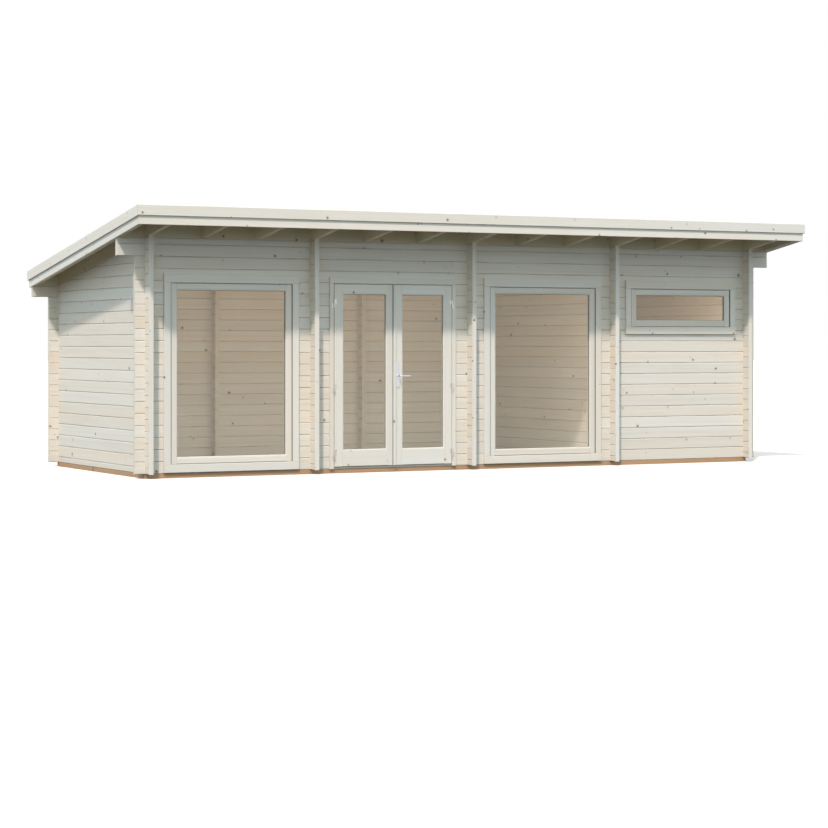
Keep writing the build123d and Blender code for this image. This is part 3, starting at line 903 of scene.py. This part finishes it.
class OFFICE_OT_log_walls(bpy.types.Operator):
    """Front, back and cross walls as separate logs."""

    bl_idname = "office.log_walls"
    bl_label = "Log walls"

    def execute(self, context):
        front, back = (FRONT_Y, FRONT_INNER_Y), (BACK_INNER_Y, BACK_Y)
        for seed, node, y, sashes, trim in (
            (11, "front_wall_left", front, ("left_window_sash",), None),
            (12, "front_wall_right", front, ("right_window_sash", "high_window_sash"), None),
            (13, "front_wall_over_door", front, (), None),
            (14, "back_wall", back, (), None),
            (21, "front_top_log", front, (), underside),
            (22, "back_top_log", back, (), underside),
        ):
            timber = Timber(seed)
            openings = [(span(sash, X), span(sash, Z)) for sash in sashes]
            long_wall(timber, span(node, X), y, span(node, Z), openings, trim)
            timber.piece(node + "_logs", "log_wood", CABIN, (node,))

        front_stub, back_stub = (STUB_FRONT_Y, FRONT_Y), (BACK_Y, STUB_BACK_Y)
        under_eaves = low("back_lower_board")[Z]
        for seed, node in enumerate(("left_wall", "partition_wall", "right_wall"), 31):
            timber = Timber(seed)
            top = high(node)[Z]
            stretches = [
                (front_stub, LOG_ZERO, top),
                ((FRONT_INNER_Y, BACK_INNER_Y), LOG_ZERO, top),
                (back_stub, LOG_ZERO, under_eaves),
            ]
            cross_logs(timber, span(node, X), stretches, top)
            timber.piece(node + "_logs", "log_wood", CABIN, (node,))

        stub = FRONT_Y - STUB_FRONT_Y
        inside_front = (FRONT_INNER_Y, FRONT_INNER_Y + stub)
        inside_back = (BACK_INNER_Y - stub, BACK_INNER_Y)
        for seed, node, outside, inside, limit in (
            (41, "front_crossings", front_stub, inside_front, math.inf),
            (42, "back_crossings", back_stub, inside_back, under_eaves),
        ):
            timber = Timber(seed)
            top = high(node)[Z]
            stretches = [(outside, LOG_ZERO, min(limit, top)), (inside, FLOOR_TOP, top)]
            for middle in crossing_middles():
                cross_logs(timber, around(middle, LOG_THICKNESS), stretches, top)
            timber.piece(node + "_logs", "log_wood", CABIN, (node,))
        return {"FINISHED"}


class OFFICE_OT_cover_boards(bpy.types.Operator):
    """Upright boards on the ends of the front's crossing logs."""

    bl_idname = "office.cover_boards"
    bl_label = "Cover boards"

    def execute(self, context):
        timber = Timber(51)
        y, z = limits("log_end_boards")[Y:]
        for middle in wall_middles():
            timber.board(
                (middle, sum(y) / 2, LOG_ZERO),
                (middle, sum(y) / 2, z[1]),
                (0, (y[1] - y[0]) / 2, 0),
                (LOG_THICKNESS / 2, 0, 0),
                TRIM_EASE,
                trim=underside,
                steps=TRIM_STEPS,
            )
        timber.piece("cover_boards", "eaves_wood", CABIN, ("log_end_boards",))
        return {"FINISHED"}


class OFFICE_OT_ground_frame(bpy.types.Operator):
    """Beams under the walls and joists between them."""

    bl_idname = "office.ground_frame"
    bl_label = "Ground frame"

    def execute(self, context):
        boards = settings().office_boards
        sole = boards.sole_width
        x, y, z = limits("foundation_frame")
        between = inset(y, sole)
        timber = Timber(61)
        timber.box(x, (y[0], y[0] + sole), z)
        timber.box(x, (y[1] - sole, y[1]), z)
        for middle in field_lines()[1:-1]:
            timber.box(around(middle, boards.joist_width), between, z)
        timber.box((x[0], x[0] + sole), between, z, way=Y)
        timber.box((x[1] - sole, x[1]), between, z, way=Y)
        timber.piece("ground_beams", "treated_wood", CABIN, ("foundation_frame",))
        return {"FINISHED"}


class OFFICE_OT_floor(bpy.types.Operator):
    """Floor boards of both rooms."""

    bl_idname = "office.floor"
    bl_label = "Floor boards"

    def execute(self, context):
        boards = settings().office_boards
        x, y, z = limits("floor_boards")
        partition = span("partition_wall", X)
        timber = Timber(71)
        for room in ((x[0], partition[0]), (partition[1], x[1])):
            for strip in strips(*y, boards.floor_board, boards.board_gap):
                timber.box(room, strip, z, FLOOR_EASE, way=X)
        timber.piece("floor_planks", "floor_wood", CABIN, ("floor_boards",))
        return {"FINISHED"}


# Roof


def falling_board(timber, x, y, above, half_width, half_height, ease, steps=EDGE_STEPS):
    """Board that falls with the roof; above is from the undersides' plane to its middle."""
    start, end = [(x, place, underside(place) + above) for place in y]
    timber.board(start, end, (half_width, 0, 0), (0, 0, half_height), ease, steps=steps)


def level_board(timber, x, y, above, half_height, ease, upright=False, jointed=False):
    """Board along X, between Y limits in the roof's slope; upright if it is higher than deep."""
    middle, reach = sum(y) / 2, (y[1] - y[0]) / 2
    start, end = [(place, middle, underside(middle) + above) for place in x]
    lean, rise = (0, reach, -fall() * reach), (0, 0, half_height)
    side, up = (lean, rise) if upright else (rise, lean)
    timber.board(start, end, side, up, ease, jointed=jointed)


class OFFICE_OT_roof(bpy.types.Operator):
    """Rafters, filling pieces over the walls, roof boards and felt."""

    bl_idname = "office.roof"
    bl_label = "Roof"

    def execute(self, context):
        boards = settings().office_boards
        x, y, z = limits("roof_boards")
        depth = high("rafters")[Z] - underside(y[0])
        half = boards.joist_width / 2
        lines = [x[0] + half, *field_lines(), x[1] - half]

        timber = Timber(81)
        for middle in lines:
            falling_board(timber, middle, y, depth / 2, half, depth / 2, boards.eased_edge)
        timber.piece("rafter_timbers", "roof_wood", CABIN, ("rafters",))

        timber = Timber(82)
        for before, after in zip(lines, lines[1:]):
            for wall in ((FRONT_Y, FRONT_INNER_Y), (BACK_INNER_Y, BACK_Y)):
                field = inset((before, after), half)
                level_board(timber, field, wall, depth / 2, depth / 2, FILLING_EASE, upright=True)
        timber.piece("filling_pieces", "roof_wood", CABIN, ("eaves_filling",))

        deck = z[1] - underside(y[0]) - depth
        timber = Timber(83)
        for strip in strips(*y, boards.roof_board, boards.board_gap):
            above = depth + deck / 2
            level_board(timber, x, strip, above, deck / 2, PLANK_EASE, jointed=True)
        timber.piece("roof_planks", "roof_wood", CABIN, ("roof_boards",))
        self.felt(x, y, depth + deck)
        return {"FINISHED"}

    def felt(self, x, y, above):
        """Sheets from eaves to ridge, lapped and nailed, turned up against the boards."""
        thickness = high("roof_covering")[Z] - high("roof_boards")[Z]
        ply = thickness * FELT_PLY
        timber = Timber(84)
        sheets = strips(*x, FELT_SHEET, 0.0)
        for index, (near, far) in enumerate(sheets):
            upper = index % 2
            reach, lift = upper * FELT_LAP, upper * (thickness - ply)
            sheet = (max(x[0], near - reach), min(x[1], far + reach))
            level_board(timber, sheet, y, above + ply / 2 + lift, ply / 2, FELT_EASE)
        rim = above + thickness + FELT_UPSTAND / 2
        half_wall, half_rim = FELT_WALL / 2, FELT_UPSTAND / 2
        for middle in inset(x, half_wall):
            falling_board(timber, middle, y, rim, half_wall, half_rim, UPSTAND_EASE)
        for wall in ((y[0], y[0] + FELT_WALL), (y[1] - FELT_WALL, y[1])):
            timber.box(x, wall, around(underside(wall[0]) + rim, FELT_UPSTAND), UPSTAND_EASE)
        timber.piece("felt_sheets", "roofing_felt", CABIN, ("roof_covering",))

        nails = Timber(85)
        slope = settings().office_logs.roof_slope
        outward = (0, math.sin(slope), math.cos(slope))
        for index, (near, _) in enumerate(sheets[1:]):
            nail_x = near + NAIL_INSET * (1 if index % 2 else -1)
            for nail_y in np.arange(y[0] + NAIL_START, y[1] - NAIL_INSET, NAIL_SPACING):
                place = (nail_x, nail_y, underside(nail_y) + above + thickness)
                nails.lathe(place, outward, NAIL_HEAD, NAIL_STEPS)
        nails.piece("felt_nails", "hinge_steel", CABIN)


class OFFICE_OT_eaves_boards(bpy.types.Operator):
    """Eaves boards along the front and back, and verge boards down the sides."""

    bl_idname = "office.eaves_boards"
    bl_label = "Eaves and verge boards"

    def execute(self, context):
        lines = wall_middles()
        for seed, node, split in (
            (554, "front_lower_board", lines[1]),
            (92, "front_upper_board", lines[3]),
            (93, "back_lower_board", lines[1]),
            (94, "back_upper_board", lines[3]),
        ):
            timber = Timber(seed)
            x, y, z = limits(node)
            for part in ((x[0], split - EAVES_JOINT), (split + EAVES_JOINT, x[1])):
                timber.box(part, y, z, TRIM_EASE)
            timber.piece(node + "_planed", "eaves_wood", CABIN, (node,))

        near, far = span("front_lower_board", Y)
        half = (far - near) / 2
        for seed, node in enumerate(("lower_verges", "upper_verges"), 96):
            timber = Timber(seed)
            x, y, z = limits(node)
            base = z[0] - underside(y[1])
            rise = (z[1] - underside(y[0]) - base) / 2
            for middle in inset(x, half):
                falling_board(timber, middle, y, base + rise, half, rise, TRIM_EASE, TRIM_STEPS)
            timber.piece(node + "_planed", "eaves_wood", CABIN, (node,))
        return {"FINISHED"}


# Windows and door


def glazed_frame(timber, x, y, z, light_x, light_z, ease):
    """Two upright boards and two level ones between them, round an opening with beads."""
    bead = settings().office_joinery.bead_width
    inner_x, inner_z = inset(light_x, -bead), inset(light_z, -bead)
    timber.box((x[0], inner_x[0]), y, z, ease, way=Z)
    timber.box((inner_x[1], x[1]), y, z, ease, way=Z)
    timber.box(inner_x, y, (z[0], inner_z[0]), ease, way=X)
    timber.box(inner_x, y, (inner_z[1], z[1]), ease, way=X)


def glazing_beads(timber, light_x, light_z, faces, glass):
    """Rounded beads round an opening, before and behind its pane.

    The section is a strip with a quarter circle at its free edge: inward = w - r + r sin(t),
    depth = r - r cos(t), for t from 0 to a right angle.
    """
    joinery = settings().office_joinery
    width, radius = joinery.bead_width, joinery.bead_width * BEAD_ROUNDING
    x, z = inset(light_x, -width), inset(light_z, -width)
    turn = np.linspace(0.0, QUARTER, BEAD_STEPS)
    inward = width - radius + radius * np.sin(turn)
    for face, pane, back in zip(faces, glass, (1, -1)):
        start = face + back * joinery.bead_setback
        depth = start + back * (radius - radius * np.cos(turn))
        rounded = np.stack([depth, inward], axis=1)
        timber.loop(x, z, [(pane, 0.0), (start, 0.0), *rounded, (pane, width)])


def square_strip_loop(timber, x, z, back, front, width):
    """A strip of square section that runs round a rectangle: the glazing seals, and the dark strip
    of painted shade in a casing gap.
    """
    timber.loop(x, z, [(back, 0.0), (front, 0.0), (front, width), (back, width)])


def pane_seals(name, light_x, light_z, glass, body):
    """The rubber line round a pane on both faces, where it meets the beads."""
    width = settings().office_joinery.seal_width
    timber = Timber()
    for face, out in zip(glass, (-1, 1)):
        square_strip_loop(timber, light_x, light_z, face, face + out * width / 2, width)
    timber.piece(name + "_seals", "glass", body, finish=finish_for("seal"))


def portal(timber, x, y, clear_x, clear_z, top, ease=None):
    """Two uprights beside an opening and the head over them."""
    timber.box((x[0], clear_x[0]), y, clear_z, ease, way=Z)
    timber.box((clear_x[1], x[1]), y, clear_z, ease, way=Z)
    timber.box(x, y, (clear_z[1], top), ease)


class OFFICE_OT_windows(bpy.types.Operator):
    """Casings, sashes and panes of the three fixed windows."""

    bl_idname = "office.windows"
    bl_label = "Windows"

    def execute(self, context):
        joinery = settings().office_joinery
        gap, face = joinery.casing_gap, joinery.sash_face
        glass_y = span("window_glass", Y)
        for seed, name in enumerate(("left_window", "right_window", "high_window")):
            x, y, z = limits(name + "_casing")
            sash_x, sash_y, sash_z = limits(name + "_sash")
            inner_x, inner_z = inset(sash_x, -gap), inset(sash_z, -gap)
            timber = Timber(seed + 101)
            timber.box(x, y, (inner_z[1], z[1]), TRIM_EASE)
            timber.box(x, y, (z[0], inner_z[0]), TRIM_EASE)
            timber.box((x[0], inner_x[0]), y, inner_z, TRIM_EASE, way=Z)
            timber.box((inner_x[1], x[1]), y, inner_z, TRIM_EASE, way=Z)
            timber.piece(name + "_casing_boards", "joinery_wood", CABIN, (name + "_casing",))

            timber = Timber(seed + 111)
            light_x, light_z = inset(sash_x, face), inset(sash_z, face)
            glazed_frame(timber, sash_x, sash_y, sash_z, light_x, light_z, SASH_EASE)
            glazing_beads(timber, light_x, light_z, sash_y, glass_y)
            timber.piece(name + "_sash_boards", "joinery_wood", CABIN, (name + "_sash",))
            pane_seals(name, light_x, light_z, glass_y, CABIN)

            # Dark strip in the gap round the sash, in a rubber finish: painted shade where the
            # gap's shadow falls
            timber = Timber()
            front = y[0] + joinery.casing_gap_shade_setback
            square_strip_loop(timber, inner_x, inner_z, y[1], front, gap)
            rubber = finish_for("casing_seal")
            timber.piece(name + "_casing_seal", "joinery_wood", CABIN, finish=rubber)
        refinish("window_glass", "glass")
        return {"FINISHED"}


class OFFICE_OT_door_frame(bpy.types.Operator):
    """Door frame, casing and threshold."""

    bl_idname = "office.door_frame"
    bl_label = "Door frame"

    def execute(self, context):
        joinery = settings().office_joinery
        jamb, stop = joinery.jamb, joinery.stop
        x, y, z = limits("door_frame")
        clear_x, clear_z = inset(x, jamb), (z[0], z[1] - jamb)
        between = inset(clear_x, stop)
        stop_y = (y[1] - joinery.stop_depth, y[1])
        timber = Timber(121)
        portal(timber, x, y, clear_x, clear_z, z[1])
        timber.box((clear_x[0], between[0]), stop_y, clear_z, PLANK_EASE)
        timber.box((between[1], clear_x[1]), stop_y, clear_z, PLANK_EASE)
        timber.box(between, stop_y, (clear_z[1] - stop, clear_z[1]), PLANK_EASE)
        timber.piece("door_frame_boards", "joinery_wood", CABIN, ("door_frame",))

        x, y, z = limits("door_casing")
        timber = Timber(122)
        portal(timber, x, y, clear_x, clear_z, z[1], TRIM_EASE)
        timber.piece("door_casing_boards", "joinery_wood", CABIN, ("door_casing",))

        x, y, z = limits("door_threshold")
        timber = Timber(123)
        timber.box(x, (y[0], stop_y[0]), z, PLANK_EASE)
        timber.box(inset(x, stop), stop_y, z, FLOOR_EASE)
        timber.piece("threshold_boards", "joinery_wood", CABIN, ("door_threshold",))
        return {"FINISHED"}


class OFFICE_OT_door_leaves(bpy.types.Operator):
    """The two glazed leaves, the strip that covers their meeting and the seal in it."""

    bl_idname = "office.door_leaves"
    bl_label = "Door leaves"

    def execute(self, context):
        rebate = settings().office_joinery.glass_rebate
        for seed, leaf in ((131, LEFT_LEAF), (132, RIGHT_LEAF)):
            x, y, z = limits(leaf)
            glass_x, glass_y, glass_z = limits(leaf + "_glass")
            light_x, light_z = inset(glass_x, rebate), inset(glass_z, rebate)
            timber = Timber(seed)
            glazed_frame(timber, x, y, z, light_x, light_z, TRIM_EASE)
            glazing_beads(timber, light_x, light_z, y, glass_y)
            timber.piece(leaf + "_boards", "joinery_wood", leaf, (leaf,))
            pane_seals(leaf, light_x, light_z, glass_y, leaf)
            refinish(leaf + "_glass", "glass")

        timber = Timber(135)
        timber.box(*limits("meeting_strip"), SASH_EASE)
        timber.piece("meeting_strip_board", "joinery_wood", RIGHT_LEAF, ("meeting_strip",))

        timber = Timber(136)
        x, y, z = limits("right_leaf")
        width, depth, setback = MEETING_SEAL
        behind = (y[0] + setback, y[0] + setback + depth)
        timber.box((x[0] - width, x[0]), behind, z, PLANK_EASE)
        timber.piece("meeting_seal", "joinery_wood", RIGHT_LEAF, finish=finish_for("pale_seal"))
        return {"FINISHED"}


class OFFICE_OT_hinges(bpy.types.Operator):
    """Plated hinges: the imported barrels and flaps, with caps on the pins and screws."""

    bl_idname = "office.hinges"
    bl_label = "Hinges"

    def execute(self, context):
        joinery = settings().office_joinery
        half = joinery.hinge_half_height
        bottom, top = span("frame_hinges", Z)
        flap_face = low("right_leaf")[Y] - joinery.hinge_flap
        pins = {joint["name"]: joint["pos_m"] for joint in frame["record"]["behaviour"]["joints"]}
        caps = Timber(151)
        for door, body, inward in (("left_door", LEFT_LEAF, 1), ("right_door", RIGHT_LEAF, -1)):
            x, y, between = pins[door]
            screws = Timber(152)
            for middle in (bottom + half, between, top - half):
                for way, size in ((-1, LOWER_CAP), (1, UPPER_CAP)):
                    end = (x, y, middle + way * half)
                    caps.lathe(end, (0, 0, way), np.array(HINGE_CAP) * size)
                for share in HINGE_SCREWS_AT:
                    for timber, way in ((caps, -1), (screws, 1)):
                        screw_x = x + way * inward * joinery.screw_line
                        place = (screw_x, flap_face, middle + way * share * half)
                        timber.screw(place, (0, -1, 0), HINGE_SCREW)
            screws.piece(door + "_hinge_screws", "hinge_steel", body, smooth=True)
        caps.piece("hinge_caps", "hinge_steel", CABIN, smooth=True)
        for node in ("frame_hinges", "left_leaf_hinges", "right_leaf_hinges"):
            refinish(node, "hinge_steel")
        return {"FINISHED"}


class OFFICE_OT_handle(bpy.types.Operator):
    """Handle plates with key holes, and the curved lever."""

    bl_idname = "office.handle"
    bl_label = "Handle"

    def execute(self, context):
        x, y, z = limits("handle_plates")
        lever_x, lever_y, lever_z = limits("lever_handle")
        middle_x, middle_z = sum(x) / 2, sum(z) / 2
        spindle_z = sum(lever_z) / 2
        half_x, half_z = (x[1] - x[0]) / 2, (z[1] - z[0]) / 2
        plate = rounded_section(half_x, half_z, PLATE_CORNER, CORNER_STEPS)
        collar = circle_section(COLLAR_RADIUS, COLLAR_STEPS)
        keyhole = rounded_section(*KEYHOLE, CORNER_STEPS)
        timber = Timber(141)
        for face, outer in zip(span("right_leaf", Y), y):
            thickness = outer - face
            for place_z, section, edge in (
                (middle_z, plate, PLATE_EDGE),
                (spindle_z, collar, COLLAR_EDGE),
                (spindle_z - KEYHOLE_DROP, keyhole, KEYHOLE_EDGE),
            ):
                self.stack(timber, (middle_x, face, place_z), thickness, section, edge)
            for place_z in inset(z, PLATE_SCREW_INSET):
                place = (middle_x, outer, place_z)
                timber.screw(place, (0, np.sign(thickness), 0), PLATE_SCREW)
        timber.piece("handle_plates_shaped", "handle_metal", RIGHT_LEAF, ("handle_plates",))

        timber = Timber(142)
        spindle_x = lever_x[0] + (lever_z[1] - lever_z[0]) / 2
        for face, end in zip(y, lever_y):
            self.lever(timber, spindle_x, spindle_z, face, end, lever_x[1])
        timber.piece("lever_shaped", "handle_metal", LEVER, ("lever_handle",), smooth=True)
        return {"FINISHED"}

    def stack(self, timber, place, thickness, section, edge):
        """Rings one behind the other from a place on the leaf's face, towards the outside.

        Each step of the edge is a share of the thickness and a share of the section's size.
        """
        depth, size = np.array(edge).T
        path = np.array(place) + (thickness * depth)[:, None] * np.array([0.0, 1.0, 0.0])
        timber.sweep(path, (-np.sign(thickness), 0, 0), (0, 0, 1), section, size)

    def lever(self, timber, x, z, face, end, tip):
        """A round neck out of the plate, a quarter turn, and a flattened grip along the leaf.

        The centre line is straight, then a quarter circle of radius r, then straight again; the
        section keeps at right angles to it.
        """
        out = 1.0 if end > face else -1.0
        reach = abs(end - face) - GRIP_SETBACK
        neck = np.linspace(0.0, reach - LEVER_BEND, NECK_STEPS)
        turn = np.linspace(0.0, QUARTER, BEND_STEPS)[1:]
        grip = np.linspace(0.0, tip - x - LEVER_BEND - TIP_SETBACK, GRIP_STEPS)[1:]
        place_x = [0 * neck, LEVER_BEND * (1 - np.cos(turn)), LEVER_BEND + grip]
        place_y = [neck, reach - LEVER_BEND + LEVER_BEND * np.sin(turn), 0 * grip + reach]
        heading = np.concatenate([0 * neck, turn, 0 * grip + QUARTER])
        path = np.full((len(heading), 3), (x, face, z))
        path[:, X] += np.concatenate(place_x)
        path[:, Y] += out * np.concatenate(place_y)
        side = np.stack([out * np.cos(heading), -np.sin(heading), 0 * heading], axis=1)
        size = np.ones(len(heading))
        size[-len(GRIP_END):] = GRIP_END
        section = rounded_section(*GRIP, CORNER_STEPS)
        timber.sweep(path, side, (0, 0, 1), section, size)


# Stage


class OFFICE_OT_stage(bpy.types.Operator):
    """Floor, even light, key light and camera."""

    bl_idname = "office.stage"
    bl_label = "Stage, light and camera"

    def execute(self, context):
        stage = settings().office_stage
        self.floor()
        self.sky(stage)
        self.key(stage)
        self.rooms(stage)
        self.camera(stage)
        bpy.context.scene.view_settings.view_transform = "Standard"
        return {"FINISHED"}

    def floor(self):
        """A wide floor: pale to the camera and through glass, duller in gloss, dark as a bounce."""
        mesh = bpy.data.meshes.new("studio_floor")
        corners = [(-1, -1, 0), (1, -1, 0), (1, 1, 0), (-1, 1, 0)]
        mesh.from_pydata((np.array(corners) * FLOOR_REACH).tolist(), [], [(0, 1, 2, 3)])
        floor = add_object("studio_floor", mesh)
        finish = Finish("studio floor")
        seen, through, mirrored = finish.rays("Camera", "Transmission", "Glossy")
        dim = finish.mix(mirrored, FLOOR_BOUNCED, FLOOR_MIRRORED)
        finish.set(
            Base_Color=finish.mix(seen.largest(through), dim, FLOOR_SEEN),
            Roughness=1.0,
            Specular_IOR_Level=0.0,
        )
        mesh.materials.append(finish.material)

    def sky(self, stage):
        """An even world, white where the camera, gloss and glass see it."""
        world = bpy.data.worlds.new("studio")
        bpy.context.scene.world = world
        world.use_nodes = True
        graph = Graph(world.node_tree)
        seen, mirrored, through = graph.rays("Camera", "Glossy", "Transmission")
        straight = seen.largest(mirrored).largest(through)
        even, white = (
            graph.node("ShaderNodeBackground", {}, {"Color": colour, "Strength": strength})
            for colour, strength in ((SKY_COLOUR, stage.sky_strength), (WHITE, 1.0))
        )
        shaders = {0: straight, 1: even.outputs[0], 2: white.outputs[0]}
        mixed = graph.node("ShaderNodeMixShader", {}, shaders)
        graph.node("ShaderNodeOutputWorld", {}, {"Surface": mixed.outputs[0]})

    def key(self, stage):
        """One broad key light from the front left, high up."""
        lamp = add_lamp(
            "SUN", "key", energy=stage.sun_strength, angle=KEY_SOFTNESS, color=KEY_COLOUR
        )
        right, back, up = KEY_TRAVEL
        tilt = math.atan2(math.hypot(right, back), -up)
        lamp.rotation_euler = (tilt, 0.0, math.atan2(-right, back))

    def rooms(self, stage):
        """A broad soft light inside each room, as wide as its front wall and facing the back."""
        partition = span("partition_wall", X)
        for left, right, power in (
            (high("left_wall")[X], partition[0], stage.long_room_power),
            (partition[1], low("right_wall")[X], stage.side_room_power),
        ):
            width = right - left - ROOM_LAMP_MARGIN
            lamp = add_lamp(
                "AREA", "room", shape="RECTANGLE", size=width, size_y=ROOM_LAMP_HEIGHT,
                energy=power, color=ROOM_COLOUR,
            )
            near = FRONT_INNER_Y + ROOM_LAMP_SETBACK
            lamp.location = ((left + right) / 2, near, ROOM_LAMP_MIDDLE)
            lamp.rotation_euler = (QUARTER, 0.0, 0.0)
            lamp.visible_camera = lamp.visible_glossy = lamp.visible_transmission = False

    def camera(self, stage):
        """The photograph's camera, level, with the lens shifted down."""
        data = bpy.data.cameras.new("camera")
        data.sensor_width = SENSOR
        data.lens = stage.lens
        data.shift_y = stage.shift
        data.clip_end = FARTHEST
        camera = add_object("camera", data)
        camera.location = stage.camera_place
        camera.rotation_euler = (QUARTER, 0.0, -stage.camera_turn)
        bpy.context.scene.camera = camera


class OFFICE_PT_panel(bpy.types.Panel):
    """Lists the sizes, the colours and the makers of the pieces."""

    bl_idname = "OFFICE_PT_panel"
    bl_label = "Garden Office"
    bl_space_type = "VIEW_3D"
    bl_region_type = "UI"
    bl_category = "Garden Office"

    def draw(self, context):
        for label in GROUPS:
            group = getattr(context.scene, label)
            box = self.layout.box()
            for name in group.__annotations__:
                box.prop(group, name)
        for operator in OPERATORS:
            self.layout.operator(operator.bl_idname)


GROUPS = {
    "office_logs": OfficeLogs,
    "office_boards": OfficeBoards,
    "office_joinery": OfficeJoinery,
    "office_finish": OfficeFinish,
    "office_stage": OfficeStage,
}
OPERATORS = (
    OFFICE_OT_stage,
    OFFICE_OT_log_walls,
    OFFICE_OT_cover_boards,
    OFFICE_OT_ground_frame,
    OFFICE_OT_floor,
    OFFICE_OT_roof,
    OFFICE_OT_eaves_boards,
    OFFICE_OT_windows,
    OFFICE_OT_door_frame,
    OFFICE_OT_door_leaves,
    OFFICE_OT_hinges,
    OFFICE_OT_handle,
)


def register():
    """Registers the classes and hangs the property groups on the scene."""
    for group in (*GROUPS.values(), *OPERATORS, OFFICE_PT_panel):
        bpy.utils.register_class(group)
    for label, group in GROUPS.items():
        setattr(bpy.types.Scene, label, bpy.props.PointerProperty(type=group))


def unregister():
    """Takes the property groups and the classes away again."""
    for label in GROUPS:
        delattr(bpy.types.Scene, label)
    for group in (OFFICE_PT_panel, *reversed(OPERATORS), *GROUPS.values()):
        bpy.utils.unregister_class(group)


def main():
    """Makes everything."""
    register()
    for operator in OPERATORS:
        group, name = operator.bl_idname.split(".")
        getattr(getattr(bpy.ops, group), name)()


if __name__ == "__main__":
    main()
